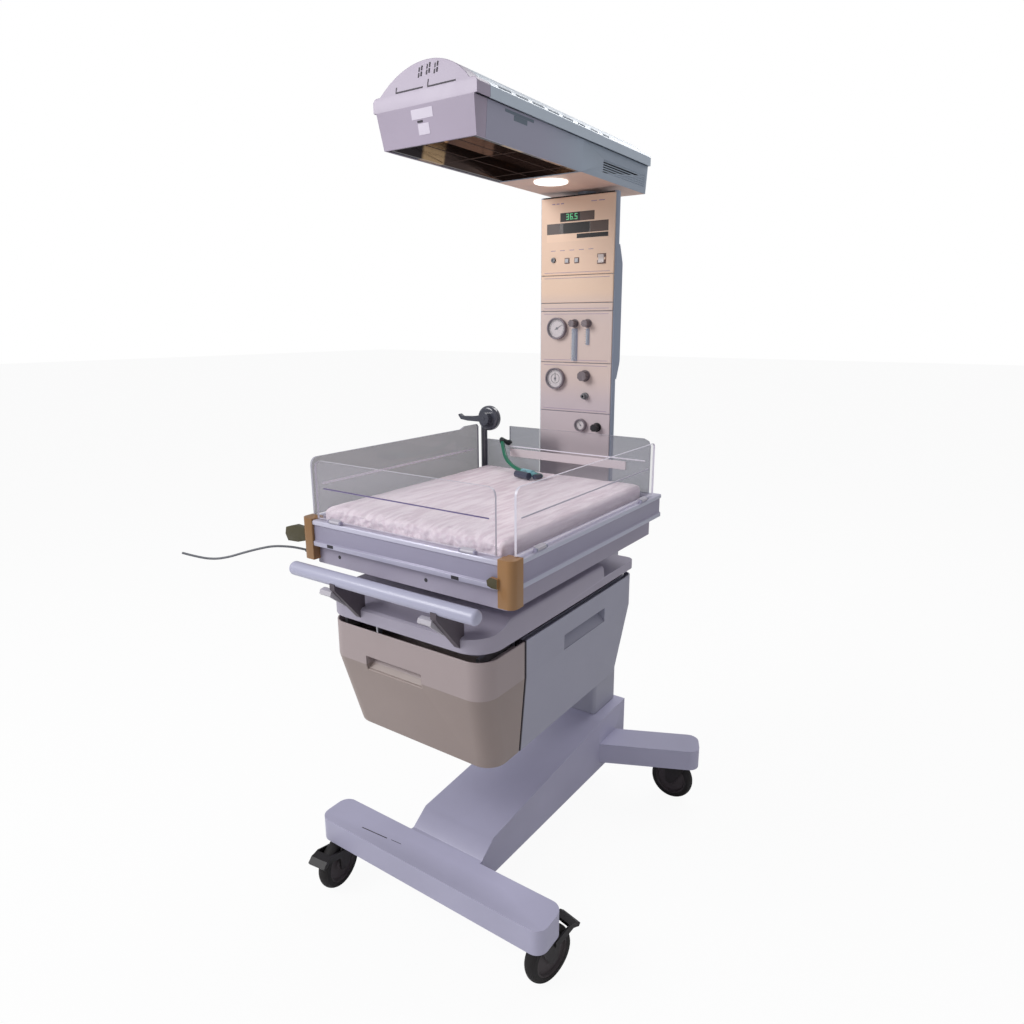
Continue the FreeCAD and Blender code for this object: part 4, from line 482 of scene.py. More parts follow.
finishes = {
    "base": moulded("base_paint", (174, 172, 195), 0.42, coat=0.05, drift=0.06, wear=0.35),
    "post": moulded("post_paint", (158, 158, 172), 0.42),
    "fork": moulded("fork_metal", (34, 29, 31), 0.45, metallic=0.2, wear=0.2),
    "tyre": moulded("tyre_rubber", (20, 16, 17), 0.7, drift=0.15, bump=0.2, grain=500.0, wear=0.0),
    "hub": moulded("hub_plastic", (58, 50, 53), 0.5),
    "pedal": moulded("pedal_plastic", (22, 18, 20), 0.5, wear=0.2),
    "tray": moulded("tray_moulding", (166, 160, 176), 0.42, drift=0.07, wear=0.3),
    "foot_drawer": moulded("foot_drawer_moulding", (150, 135, 130), 0.42, wear=0.4,
                           bands=((0.675, 0.76, (166, 152, 152)),)),
    # The dark band at the side drawer's front edge is painted shade of the seam there.
    "side_drawer": moulded("side_drawer_moulding", (158, 158, 174), 0.42, wear=0.4,
                           along=(0, 1, 0), fade=0.0008,
                           bands=((-0.280, -0.2665, (60, 54, 62)),)),
    "cabinet": moulded("cabinet_moulding", (154, 154, 170), 0.42, wear=0.4),
    "runner": moulded("runner_steel", (150, 150, 155), 0.3, metallic=0.9),
    "bar": moulded("bar_coat", (180, 180, 202), 0.36, coat=0.15),
    "gusset": moulded("gusset_paint", (84, 76, 84), 0.5),
    "squeeze": moulded("squeeze_plastic", (188, 184, 192)),
    "column": moulded("column_paint", (150, 160, 178), 0.42),
    "module": moulded("module_face", (198, 184, 188), 0.5, drift=0.03, bump=0.04, fade=0.05,
                      bands=((1.43, 1.60, (230, 200, 176)), (1.22, 1.43, (212, 192, 184)))),
    "control": moulded("control_face", (232, 200, 176), 0.5, drift=0.03, bump=0.04),
    "window": moulded("window_glass", (70, 60, 58), 0.25, drift=0.02, smudge=0.03, bump=0.0,
                      wear=0.0),
    "port": moulded("port_plastic", (120, 120, 124)),
    "gauge": moulded("gauge_rim", (134, 124, 132), 0.35, metallic=0.2),
    "hook": moulded("hook_wire", (30, 30, 32)),
    # The pale bands along both rails' ridges are painted highlights; the side rails' darker paint
    # is painted shade, a shaded copy of the end rails' paint.
    "rail_front": moulded("rail_anodised", (158, 154, 176), 0.34, metallic=0.15,
                          bands=((0.9655, 0.9765, (202, 200, 218)),
                                 (0.918, 0.9285, (186, 184, 204)))),
    "rail_side": moulded("rail_side_painted_shade", (128, 134, 154), 0.34, metallic=0.15,
                         bands=((0.9655, 0.9765, (196, 198, 214)),
                                (0.918, 0.9285, (186, 188, 206)))),
    "pan": moulded("pan_paint", (158, 152, 170), 0.42),
    "corner": moulded("corner_casting", (152, 112, 70), coat=0.2, drift=0.16, wear=0.4),
    "yoke": moulded("yoke_paint", (96, 96, 104), 0.45),
    "clamp": moulded("clamp_dome", (72, 74, 84), 0.18, coat=0.7, bump=0.02),
    "fitting": moulded("fitting_plastic", (34, 40, 42)),
    "strip": moulded("label_strip", (208, 196, 200), 0.45, drift=0.02),
    "stay": moulded("stay_sleeve", (110, 112, 118), 0.5, bump=0.1),
    "hose": moulded("hose_plastic", (22, 110, 82), 0.3, coat=0.5, drift=0.15),
    "tee": moulded("tee_plastic", (120, 170, 180), 0.25, coat=0.5),
    "valve": moulded("valve_plastic", (62, 66, 84), 0.35, coat=0.3),
    "green_cap": moulded("green_cap_plastic", (24, 98, 88), 0.3, coat=0.4),
    "cap": moulded("hood_cap_moulding", (170, 159, 177), wear=0.35),
    "top": moulded("hood_top_moulding", (194, 206, 218), 0.36, coat=0.1, wear=0.3),
    "side": moulded("hood_side_moulding", (166, 178, 192), 0.42, wear=0.3, along=(0, 1, 0),
                    fade=0.12, bands=((-0.60, 0.02, (172, 172, 190)),)),
    "soffit": moulded("hood_soffit", (222, 188, 172), drift=0.06),
    # The dark mirror carries a painted reflection: the cream band and the brown stretch beside it
    # stand for what it reflects.
    "reflector": moulded("reflector_painted_reflection", (66, 60, 62), 0.14, metallic=0.9, drift=0.15,
                         bump=0.02, along=(0, 1, 0), fade=0.006,
                         bands=((-0.185, -0.115, (232, 196, 150)),
                                (-0.115, 0.11, (96, 80, 74)))),
    "heater": moulded("heater_sheath", (70, 50, 42), 0.5, metallic=0.4),
    "button": moulded("button_cap", (186, 186, 190)),
    "rocker": moulded("rocker_cap", (206, 194, 190), 0.35, wear=0.0),
    "bezel": moulded("switch_bezel", (112, 84, 76), 0.45, drift=0.03, wear=0.0),
    "knob": moulded("knob_plastic", (112, 102, 106), 0.42, wear=0.5),
    "knob_dark": moulded("knob_black", (30, 30, 34), 0.42),
    "screw": moulded("screw_steel", (150, 148, 150), 0.3, metallic=0.9, drift=0.02),
    "dark": moulded("dark_recess", (44, 42, 48), 0.6),
    "clear": clear_sheet("clear_acrylic", (214, 212, 224), 0.05, 0.3),
    "rim": moulded("panel_polished_rim", (216, 212, 224), 0.25, drift=0.02, bump=0.02),
    "smoked_rim": moulded("smoked_panel_rim", (166, 164, 176), 0.25, drift=0.02, bump=0.02),
    "knuckle": moulded("hinge_knuckle", (186, 182, 192), 0.35, drift=0.02),
    "smoked": clear_sheet("smoked_acrylic", (134, 130, 142), 0.5, 0.75),
    "smoked_rear": clear_sheet("smoked_rear_acrylic", (128, 132, 144), 0.55, 0.8,
                               clear_middle=(-0.073, 0.143)),
    "lens": clear_sheet("gauge_lens", (240, 244, 246), 0.04, 0.3),
    "tube": clear_sheet("flow_tube", (206, 214, 222), 0.3, 0.6),
    "lamp": lit("lamp_lens", (250, 250, 244), 1.2),
    "digits": lit("display_digits", (70, 168, 112), 0.75),
    "dial": moulded("dial_card", (218, 208, 210), 0.6, drift=0.01, bump=0.0, wear=0.0),
    "ink": moulded("dial_ink", (34, 34, 38), 0.6, drift=0.0, bump=0.0),
    "pointer": moulded("dial_pointer", (112, 112, 118), 0.5, drift=0.0),
    "card": moulded("bare_label", (218, 210, 224), 0.5, drift=0.02, wear=0.0),
    "slit": moulded("vent_slit", (52, 46, 56), 0.6, drift=0.0),
    "dash": moulded("shoulder_slot", (112, 124, 136), 0.6),
    "line": moulded("printed_line", (150, 128, 158), 0.5, drift=0.02, bump=0.0),
    "glass_dark": moulded("display_dark", (16, 12, 14), 0.5, drift=0.0, smudge=0.04, bump=0.0,
                          wear=0.0),
    "glass_brown": moulded("display_brown", (86, 70, 64), 0.5, drift=0.03, bump=0.0, wear=0.0),
    "glass_grey": moulded("display_grey", (92, 82, 80), 0.5, drift=0.03, bump=0.0, wear=0.0),
    "tube_back": moulded("flow_scale", (150, 152, 170), drift=0.04, wear=0.0),
    "olive": moulded("latch_lug", (74, 68, 44), 0.45, drift=0.1),
    "bead_light": moulded("panel_bead_pale", (238, 232, 242), 0.3, drift=0.02, wear=0.0),
    "bead_violet": moulded("panel_bead_violet", (112, 96, 148), 0.3),
}


def smooth_cord(name, route, diameter, finish, node):
    """A cord of the bed along its route, which stands for a CAD node."""
    data = bpy.data.curves.new(name, "CURVE")
    data.dimensions = "3D"
    line = data.splines.new("NURBS")
    line.points.add(len(route) - 1)
    for spot, point in zip(line.points, route):
        spot.co = (*point, 1.0)
    line.order_u = 3
    line.use_endpoint_u = True
    line.resolution_u = 12
    data.bevel_depth = diameter / 2
    data.bevel_resolution = 5
    data.use_fill_caps = True
    data.materials.append(finish)
    piece = bpy.data.objects.new(name, data)
    scene.collection.objects.link(piece)
    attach(piece, "bed")
    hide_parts(node)
    return piece


hose_route = [(-0.181, 0.207, 1.071), (-0.166, 0.192, 1.052), (-0.143, 0.171, 1.034),
              (-0.114, 0.152, 1.023), (-0.084, 0.138, 1.017), (-0.062, 0.131, 1.0145)]
stay_route = [(-0.284, -0.405, 0.901), (-0.299, -0.416, 0.906), (-0.318, -0.429, 0.909),
              (-0.344, -0.447, 0.910), (-0.372, -0.465, 0.903), (-0.400, -0.484, 0.894),
              (-0.427, -0.502, 0.884), (-0.454, -0.520, 0.879), (-0.482, -0.539, 0.883),
              (-0.512, -0.560, 0.894)]
hose = smooth_cord("breathing_hose", hose_route, 0.011, finishes["hose"], "hose")
stay = smooth_cord("bendable_stay", stay_route, 0.005, finishes["stay"], "stay_wire")
parted("t_piece", (("valve", lambda c, n: c.y < 0.0985, finishes["valve"]),
                   ("cap", lambda c, n: c.x > -0.010, finishes["green_cap"]),
                   ("body", None, finishes["tee"])))


def tree_with(name, inputs):
    """An empty geometry tree, what it is given, and each input's identifier."""
    tree = bpy.data.node_groups.new(name, "GeometryNodeTree")
    tree.interface.new_socket("Geometry", in_out="INPUT", socket_type="NodeSocketGeometry")
    keys = {}
    for label, kind in inputs.items():
        socket = tree.interface.new_socket(label, in_out="INPUT", socket_type="NodeSocket" + kind)
        keys[label] = socket.identifier
    tree.interface.new_socket("Geometry", in_out="OUTPUT", socket_type="NodeSocketGeometry")
    return tree, tree.nodes.new("NodeGroupInput").outputs, keys


def finish_tree(tree, given, points, turn):
    """Puts a block of the given size on every point, as plain geometry in one finish."""
    block = add(tree, "GeometryNodeMeshCube", {"Size": given["Size"]})
    copies = add(tree, "GeometryNodeInstanceOnPoints",
                 {"Points": points, "Instance": block.outputs["Mesh"],
                  "Rotation": turn.outputs["Rotation"]})
    real = add(tree, "GeometryNodeRealizeInstances", {"Geometry": copies.outputs["Instances"]})
    coat = add(tree, "GeometryNodeSetMaterial", {"Geometry": real.outputs["Geometry"],
                                                 "Material": given["Finish"]})
    add(tree, "NodeGroupOutput", {"Geometry": coat.outputs["Geometry"]})


def row_tree():
    """Blocks in a straight row: slits, slots, dashes and graduations."""
    tree, given, keys = tree_with("marks_in_a_row", {
        "Count": "Int", "First": "Vector", "Step": "Vector", "Size": "Vector", "Turn": "Vector",
        "Finish": "Material"})
    points = add(tree, "GeometryNodeMeshLine",
                 {"Count": given["Count"], "Start Location": given["First"],
                  "Offset": given["Step"]}, mode="OFFSET")
    turn = add(tree, "FunctionNodeEulerToRotation", {"Euler": given["Turn"]})
    finish_tree(tree, given, points.outputs["Mesh"], turn)
    return tree, keys


def ring_tree():
    """Blocks round a dial that faces the front: the graduations of a gauge."""
    tree, given, keys = tree_with("marks_in_a_ring", {
        "Count": "Int", "Centre": "Vector", "Radius": "Float", "First angle": "Float",
        "Angle step": "Float", "Size": "Vector", "Finish": "Material"})
    points = add(tree, "GeometryNodeMeshLine", {"Count": given["Count"]})
    number = add(tree, "GeometryNodeInputIndex")
    angle = add(tree, "ShaderNodeMath", {0: number.outputs[0], 1: given["Angle step"],
                                         2: given["First angle"]}, operation="MULTIPLY_ADD")
    across = add(tree, "ShaderNodeMath", {0: angle.outputs[0]}, operation="SINE")
    up = add(tree, "ShaderNodeMath", {0: angle.outputs[0]}, operation="COSINE")
    reach = add(tree, "ShaderNodeCombineXYZ", {"X": across.outputs[0], "Z": up.outputs[0]})
    spot = add(tree, "ShaderNodeVectorMath", {0: reach.outputs[0], 1: given["Radius"],
                                              2: given["Centre"]}, operation="MULTIPLY_ADD")
    moved = add(tree, "GeometryNodeSetPosition", {"Geometry": points.outputs["Mesh"],
                                                  "Position": spot.outputs[0]})
    lean = add(tree, "ShaderNodeCombineXYZ", {"Y": angle.outputs[0]})
    turn = add(tree, "FunctionNodeEulerToRotation", {"Euler": lean.outputs[0]})
    finish_tree(tree, given, moved.outputs["Geometry"], turn)
    return tree, keys


row_maker, ring_maker = row_tree(), ring_tree()


def grown_mesh(maker, **values):
    """The mesh that a node tree makes with its inputs set."""
    tree, keys = maker
    piece = bpy.data.objects.new("grown", bpy.data.meshes.new("grown"))
    scene.collection.objects.link(piece)
    grow = piece.modifiers.new("grow", "NODES")
    grow.node_group = tree
    for label, value in values.items():
        grow[keys[label.replace("_", " ")]] = value
    mesh = mesh_now(piece)
    bpy.data.objects.remove(piece)
    return mesh


def row(count, first, step, size, finish, turn=no_step):
    """A straight row of blocks."""
    return grown_mesh(row_maker, Count=count, First=first, Step=step, Size=size, Turn=turn,
                      Finish=finish)


def block(place, size, finish, turn=no_step):
    """One block of a row's kind."""
    return row(1, place, no_step, size, finish, turn)


def marks(name, meshes, finish, node):
    """One piece of small marks on a node, in one finish."""
    new_piece(name, merged(name, meshes), body_of_node(node), finish, 40)


def tile(x, z, y, thick=0.0006):
    """A thin plate that faces the front."""
    return box_mesh((x[0], y, z[0]), (x[1], y + thick, z[1]))


def wheel_faces(side):
    """A wheel with a dark tyre, a paler hub and a bright axle end."""
    node = "caster_wheel_" + side
    joint = next(joint for joint in frame["record"]["behaviour"]["joints"]
                 if joint["name"] == "spin_" + side)
    centre, axle = Vector(joint["pos_m"]), Vector(joint["axis"]).normalized()
    hub_radius, axle_radius = 0.0462, 0.009

    def out_from_axle(spot):
        away = spot - centre
        return (away - axle * away.dot(axle)).length

    # a ring-shaped face has its centre on the axle, so the faces are cut into triangles first
    whole = node_copy(node)
    with opened(whole) as work:
        bmesh.ops.triangulate(work, faces=work.faces[:])
    parted(node, (("axle", lambda c, n: out_from_axle(c) < axle_radius, finishes["screw"]),
                  ("hub", lambda c, n: out_from_axle(c) < hub_radius, finishes["hub"]),
                  ("tyre", None, finishes["tyre"])), 40, whole)


def clear_panels():
    """The four panels, each with its sheet, polished rim, bead and hinge knuckles."""
    # node, axis across the sheet, its two faces, side of the mattress, finishes
    panels = (("front_panel", 1, -0.404, -0.399, 1, "clear", "rim", "bead_violet"),
              ("right_panel", 0, 0.2675, 0.2725, -1, "clear", "rim", "rim"),
              ("left_panel", 0, -0.2725, -0.2675, 1, "smoked", "smoked_rim", "bead_light"),
              ("rear_panel", 1, 0.229, 0.234, -1, "smoked_rear", "smoked_rim", "bead_light"))
    gap = 0.0003
    for node, axis, low, high, inward, sheet, rim, bead in panels:
        inner, outer = (high, low) if inward > 0 else (low, high)

        def beyond_inner(c, n):
            return (c[axis] - inner) * inward > gap

        def beyond_outer(c, n):
            return (outer - c[axis]) * inward > gap

        def on_rim(c, n):
            return abs(n[axis]) < 0.5

        parted(node, (("bead", beyond_inner, finishes[bead]),
                      ("knuckles", beyond_outer, finishes["knuckle"]),
                      ("rim", on_rim, finishes[rim]), ("sheet", None, finishes[sheet])),
               30)


def cover_fabric():
    """Woven cover with fine stripes along the bed."""
    material, tree, shader = base_material("mattress_cover")
    cloth = add(tree, "ShaderNodeGroup",
                {"Colour": linear((248, 234, 241)), "Stripe": linear((230, 211, 221)),
                 "Stripes per metre": 90.0}, node_tree=woven)
    relief = add(tree, "ShaderNodeBump", {"Strength": 0.5, "Distance": 0.002,
                                          "Height": cloth.outputs["Height"]})
    fill(tree, shader, {"Base Color": cloth.outputs["Colour"], "Roughness": 0.85,
                        "Normal": relief.outputs["Normal"], "Sheen Weight": 0.2})
    return material


def mattress_cover():
    """The mattress, filled by a short cloth run, then with its puckers and crumpled hem."""
    low, high = (Vector(corner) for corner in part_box("mattress"))
    room, furthest, last_frame = 0.004, 0.004, 20
    mesh = box_mesh(low + Vector((room, room, 0.0)), high - Vector((room, room, room)))
    pad = bpy.data.objects.new("mattress_cover", mesh)
    scene.collection.objects.link(pad)
    rounding = pad.modifiers.new("rounding", "BEVEL")
    rounding.width = 0.009
    rounding.segments = 4
    even = pad.modifiers.new("even", "REMESH")
    even.mode = "VOXEL"
    even.voxel_size = 0.006
    settle(pad)
    before = [vert.co.copy() for vert in pad.data.vertices]
    cloth = pad.modifiers.new("fill", "CLOTH")
    cloth.settings.use_pressure = True
    cloth.settings.uniform_pressure_force = 4.0
    cloth.settings.quality = 5
    cloth.settings.effector_weights.gravity = 0.0
    for number in range(1, last_frame + 1):
        scene.frame_set(number)
    settle(pad)
    scene.frame_set(1)
    for vert, start in zip(pad.data.vertices, before):
        moved = vert.co - start
        if moved.length > furthest:
            vert.co = start + moved.normalized() * furthest
    pad.data.update()
    finer = pad.modifiers.new("finer", "SUBSURF")
    finer.levels = 1
    finer.render_levels = 1
    settle(pad)
    pucker(pad.data, low, high)
    pad.data.materials.clear()
    pad.data.materials.append(cover_fabric())
    for face in pad.data.polygons:
        face.use_smooth = True
    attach(pad, "bed")
    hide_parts("mattress")


def pucker(mesh, low, high):
    """Seersucker ridges along the bed on top, and a crumpled hem at the foot end."""
    ridge_pitch, ridge_depth, nick_depth, hem_depth = 0.0135, 0.0007, 0.0012, 0.009

    def share(value):
        return min(1.0, max(0.0, value))

    def creases(spot, x, y, z):
        return noise.noise(Vector((spot.x * x, spot.y * y, spot.z * z)))

    for vert in mesh.vertices:
        spot = vert.co.copy()
        x, y, z = spot
        crown = share((z - (high.z - 0.014)) / 0.008)
        sway = noise.noise(Vector((x * 9.0, y * 6.0, 0.0)))
        wave = math.sin((x + 0.006 * sway) * math.tau / ridge_pitch)
        nick = noise.noise(Vector((x * 60.0, y * 24.0, 3.0)))
        drop = ridge_depth * (0.5 - 0.5 * wave) + nick_depth * max(0.0, nick)
        vert.co.z = z - crown * drop
        near_foot = share((low.y + 0.05 - y) / 0.04)
        crease = creases(spot, 38.0, 30.0, 55.0) + 0.6 * creases(spot, 95.0, 70.0, 120.0)
        vert.co.y += near_foot * hem_depth * max(-0.4, crease) * 0.6
        vert.co.z += near_foot * crown * hem_depth * min(0.0, crease)
        for i in range(3):
            vert.co[i] = min(high[i], max(low[i], vert.co[i]))


def hood_marks():
    """Vent slits, slots and bare labels on the cap, dashes on the shoulder, the painted shade of
    the latch recess, and wires.
    """
    slit, card, dash = finishes["slit"], finishes["card"], finishes["dash"]
    upper = (math.radians(-11.8), 0, 0)
    lower = (math.radians(11.1), 0, 0)
    shoulder = (0, math.radians(-32.7), 0)
    side = (0, math.radians(4.6), 0)

    def upper_y(z):
        return -0.2918 + 0.209 * (z - 1.8142)

    def lower_y(z):
        return -0.2932 - 0.1925 * (z - 1.7846)

    slits = []
    for x, z in ((-0.013, 1.8365), (0.006, 1.8390), (0.025, 1.8375)):
        for column in (0.0, 0.006):
            slits.append(row(2, (x + column, upper_y(z), z + column * 0.3),
                             (0.0, 0.0023, 0.0105), (0.0028, 0.0012, 0.008), slit, upper))
    for x, z, long, stub in ((-0.067, 1.8140, 0.067, 0.010), (0.012, 1.8130, 0.066, 0.013)):
        slits.append(block((x + long / 2, upper_y(z), z), (long, 0.0012, 0.0026), slit, upper))
        slits.append(block((x, upper_y(z + stub / 2), z + stub / 2), (0.002, 0.0012, stub),
                           slit, upper))
    slits.append(block((-0.012, lower_y(1.7585), 1.7585), (0.013, 0.0013, 0.0035), slit, lower))
    marks("cap_slits", slits, slit, "front_cap")
    cards = [block((-0.005, lower_y(z), z), (wide, 0.001, tall), card, lower)
             for z, wide, tall in ((1.7710, 0.052, 0.017), (1.7455, 0.027, 0.019))]
    marks("cap_labels", cards, card, "front_cap")
    dashes = [row(count, (0.1241, y, 1.8105), (0, 0.0575, 0), (0.0012, long, tall), dash, shoulder)
              for count, y, long, tall in ((5, -0.205, 0.040, 0.0040), (3, 0.083, 0.030, 0.0034))]
    marks("shoulder_slots", dashes, dash, "top_cover")
    # The two darker blocks on the latch are painted shade of its recessed slot.
    latch = [block((0.1192, -0.1485, 1.7790), (0.0012, 0.098, 0.0050), dash, side),
             block((0.1184, -0.145, 1.7715), (0.0012, 0.046, 0.0090), dash, side)]
    marks("latch_painted_shade", latch, dash, "lower_shell")
    wire_radius, wire_sides = 0.0008, 8
    wires = [rod_mesh((x, -0.2650, 1.7262), (x, 0.0980, 1.7262), wire_radius, wire_sides)
             for x in (-0.030, 0.052)]
    wires += [rod_mesh((-0.096, y, 1.7246), (0.096, y, 1.7246), wire_radius, wire_sides)
              for y in (-0.118, 0.060)]
    marks("guard_wires", wires, finishes["heater"], "reflector")


def digit_bars(text, x, z, width, height, y):
    """Plain seven-bar figures, each built from its lit bars."""
    lit_bars = {"3": "abgcd", "5": "afgcd", "6": "afgedc"}
    bar = height * 0.13
    half = height / 2
    places = {"a": (0, height, width, bar), "g": (0, half, width, bar), "d": (0, 0, width, bar),
              "f": (0, half, bar, half), "b": (width - bar, half, bar, half),
              "e": (0, 0, bar, half), "c": (width - bar, 0, bar, half)}
    tiles = []
    for sign in text:
        if sign == ".":
            tiles.append(tile((x - bar * 0.6, x + bar * 0.6), (z, z + bar), y))
            x += bar * 1.6
            continue
        for name in lit_bars[sign]:
            left, up, wide, tall = places[name]
            tiles.append(tile((x + left, x + left + wide), (z + up, z + up + tall), y))
        x += width * 1.5
    return tiles


def display_marks(face_y):
    """The dark and lit parts of the displays, the surrounds of the switches and the jack, and a
    painted-shade strip in the gap above the column.
    """
    control_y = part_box("display_windows")[0][1] - 0.0004
    upper_z, middle_z, lower_z = (1.6465, 1.6675), (1.6170, 1.6425), (1.6040, 1.6145)
    marks("face_below_window", [tile((-0.0902, 0.0902), (1.5976, 1.6168), control_y)],
          finishes["control"], "control_panel")
    marks("display_dark_parts", [tile((-0.0495, 0.008), upper_z, control_y),
                                 tile((-0.041, 0.036), middle_z, control_y),
                                 tile((0.0, 0.090), lower_z, control_y - 0.0004)],
          finishes["glass_dark"], "display_windows")
    marks("display_brown_parts", [tile((0.009, 0.0495), upper_z, control_y),
                                  tile((0.038, 0.0895), middle_z, control_y)],
          finishes["glass_brown"], "display_windows")
    marks("display_grey_part", [tile((-0.0895, -0.053), middle_z, control_y)],
          finishes["glass_grey"], "display_windows")
    marks("display_digits", digit_bars("36.5", -0.032, 1.6505, 0.0075, 0.0125,
                                       control_y - 0.0005),
          finishes["digits"], "display_windows")
    bezels = [tile((x - half, x + half), (z - half, z + half), face_y - 0.0005, 0.001)
              for x, z, half in ((-0.028, 1.550, 0.0072), (0.001, 1.550, 0.0072),
                                 (0.073, 1.551, 0.0125))]
    marks("switch_bezels", bezels, finishes["bezel"], "control_panel")
    marks("jack_ring", [rod_mesh((-0.069, face_y + 0.0004, 1.553),
                                 (-0.069, face_y - 0.0006, 1.553), 0.0068, 32)],
          finishes["glass_dark"], "control_panel")
    # A dark strip is painted shade in the gap between the column's top and the hood.
    marks("top_gap_painted_shade", [tile((-0.104, 0.104), (1.7055, 1.7090), face_y + 0.0032, 0.001)],
          finishes["glass_dark"], "column_cover")


def printed_marks(face_y):
    """Printed lines between the modules, and plain dashes where the real face has words."""
    half_line = 0.0005
    lines = [tile((-0.097, 0.097), (z - half_line, z + half_line), face_y - 0.0003)
             for z in (1.166, 1.283, 1.297, 1.416, 1.430, 1.507, 1.521)]
    marks("printed_lines", lines, finishes["line"], "module_panels")
    words = [row(count, (x, face_y, z), (step, 0, 0), (long, 0.0006, tall), finishes["line"])
             for count, x, z, step, long, tall in ((3, -0.070, 1.6905, 0.013, 0.009, 0.0022),
                                                   (2, 0.048, 1.6900, 0.022, 0.016, 0.0018),
                                                   (5, -0.070, 1.5760, 0.028, 0.014, 0.0014))]
    marks("plain_legends", words, finishes["line"], "control_panel")


def dial_marks():
    """The card, graduations and hand of each gauge."""
    card_front, mark_y, hand_y, boss_front = 0.2818, 0.2816, 0.2808, 0.2800
    sweep = math.radians(270)
    cards, ticks, hands = [], [], []
    for x, z, rim, lean, count in ((-0.053, 1.379, 0.028, 60, 25), (-0.057, 1.247, 0.028, 0, 31),
                                   (0.024, 1.126, 0.0165, -38, 13)):
        radius = rim - 0.0042
        cards.append(rod_mesh((x, card_front + 0.0006, z), (x, card_front, z), radius, 48))
        ticks.append(grown_mesh(
            ring_maker, Count=count, Centre=(x, mark_y, z), Radius=radius * 0.86,
            First_angle=-sweep / 2, Angle_step=sweep / (count - 1),
            Size=(radius * 0.03, 0.0004, radius * 0.14), Finish=finishes["ink"]))
        way = Vector((math.sin(math.radians(lean)), 0, math.cos(math.radians(lean))))
        hub = Vector((x, hand_y, z))
        hands.append(rod_mesh(hub - way * radius * 0.3, hub + way * radius * 0.74, 0.0009, 8,
                              0.0004))
        hands.append(rod_mesh((x, mark_y, z), (x, boss_front, z), radius * 0.13))
    inner_count = 48
    ticks.append(grown_mesh(
        ring_maker, Count=inner_count, Centre=(-0.057, mark_y, 1.247), Radius=0.0125,
        First_angle=0.0, Angle_step=math.tau / inner_count, Size=(0.0018, 0.0004, 0.0009),
        Finish=finishes["pointer"]))
    marks("dial_cards", cards, finishes["dial"], "gauge_cases")
    marks("dial_marks", ticks, finishes["ink"], "gauge_cases")
    marks("dial_hands", hands, finishes["pointer"], "gauge_cases")


def flow_marks(face_y):
    """The pale backs and the graduations of the two flow tubes."""
    marks("flow_backs", [tile((-0.0095, 0.0075), (1.2950, 1.3790), face_y - 0.0004),
                         tile((0.0330, 0.0430), (1.3370, 1.3790), face_y - 0.0004)],
          finishes["tube_back"], "module_panels")
    ink = finishes["ink"]
    grades = [row(12, (-0.0115, face_y, 1.301), (0, 0, 0.0065), (0.004, 0.0006, 0.0006), ink),
              row(7, (0.0300, face_y, 1.340), (0, 0, 0.0060), (0.003, 0.0006, 0.0006), ink)]
    marks("flow_graduations", grades, ink, "module_panels")


def column_marks():
    """Displays, dials, scales and printed lines on the column's front."""
    face_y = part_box("module_panels")[0][1]
    display_marks(face_y)
    printed_marks(face_y)
    dial_marks()
    flow_marks(face_y)


def bed_marks():
    """Dark clips on the front rail, two screws in the pan, and the left bead's bright line."""
    clips = [box_mesh((x - 0.009, -0.4119, z - 0.0035), (x + 0.009, -0.4098, z + 0.0035))
             for x, z in ((-0.196, 0.9245), (0.148, 0.9235))]
    clips += [rod_mesh((x, -0.3949, z), (x, -0.3935, z), 0.0042, 16)
              for x, z in ((-0.187, 0.898), (0.060, 0.896))]
    marks("rail_clips", clips, finishes["dark"], "bed_frame")
    marks("left_bead_line", [box_mesh((-0.2674, -0.360, 1.0445), (-0.2665, 0.186, 1.0490))],
          finishes["bead_light"], "left_panel")


def base_marks():
    """A scuffed slot on the cross bar and a second faint line beside it."""
    along_bar = (0, 0, math.radians(4.1))
    scuffs = [block((-0.170, -0.3548, 0.1871), (0.078, 0.0022, 0.0005), finishes["dark"],
                    along_bar),
              block((-0.104, -0.3490, 0.1871), (0.030, 0.0012, 0.0004), finishes["dark"],
                    along_bar)]
    marks("cross_bar_slot", scuffs, finishes["dark"], "base_frame")


softened("base_frame", finishes["base"], 0.007, segments=3, one_skin=True)
softened("post", finishes["post"], 0.004)
softened("chassis_tray", finishes["tray"], 0.005, segments=3)
softened("front_drawer", finishes["foot_drawer"], 0.0016, smooth=52, one_skin=True)
softened("side_drawer", finishes["side_drawer"], 0.0016)
softened("cabinet_shell", finishes["cabinet"], 0.0016)
softened("bar_brackets", finishes["gusset"], 0.0015)
softened("squeeze_left", finishes["squeeze"], 0.0015)
softened("squeeze_right", finishes["squeeze"], 0.0015)
softened("bed_pan", finishes["pan"], 0.005)
# The side rails take the darker rail paint, which is painted shade.
parted("bed_frame", (("side_rails", lambda c, n: abs(c.x) > 0.2795, finishes["rail_side"]),
                     ("end_rails", None, finishes["rail_front"])), 40,
       moulding_mesh("bed_frame", 0.0008))
parted("corner_posts", (("lugs", lambda c, n: c.x < -0.2837 or 0.15 < c.x < 0.2476,
                         finishes["olive"]),
                        ("posts", None, finishes["corner"])), 40,
       moulding_mesh("corner_posts", 0.003, 3))
softened("clamp_lever", finishes["clamp"], 0.002)
softened("label_strip", finishes["strip"], 0.0006)
softened("column_cover", finishes["column"], 0.002)
for knob in ("knob_flow", "knob_mix", "knob_suction"):
    softened(knob, finishes["knob"], 0.0006)
softened("knob_outlet", finishes["knob_dark"], 0.0006)
softened("top_cover", finishes["top"], 0.0012)
softened("front_cap", finishes["cap"], 0.0012)
parted("lower_shell", (("soffit", lambda c, n: n.z < -0.6 and abs(c.x) < 0.113,
                        finishes["soffit"]),
                       ("sides", None, finishes["side"])), 40,
       moulding_mesh("lower_shell", 0.0012))
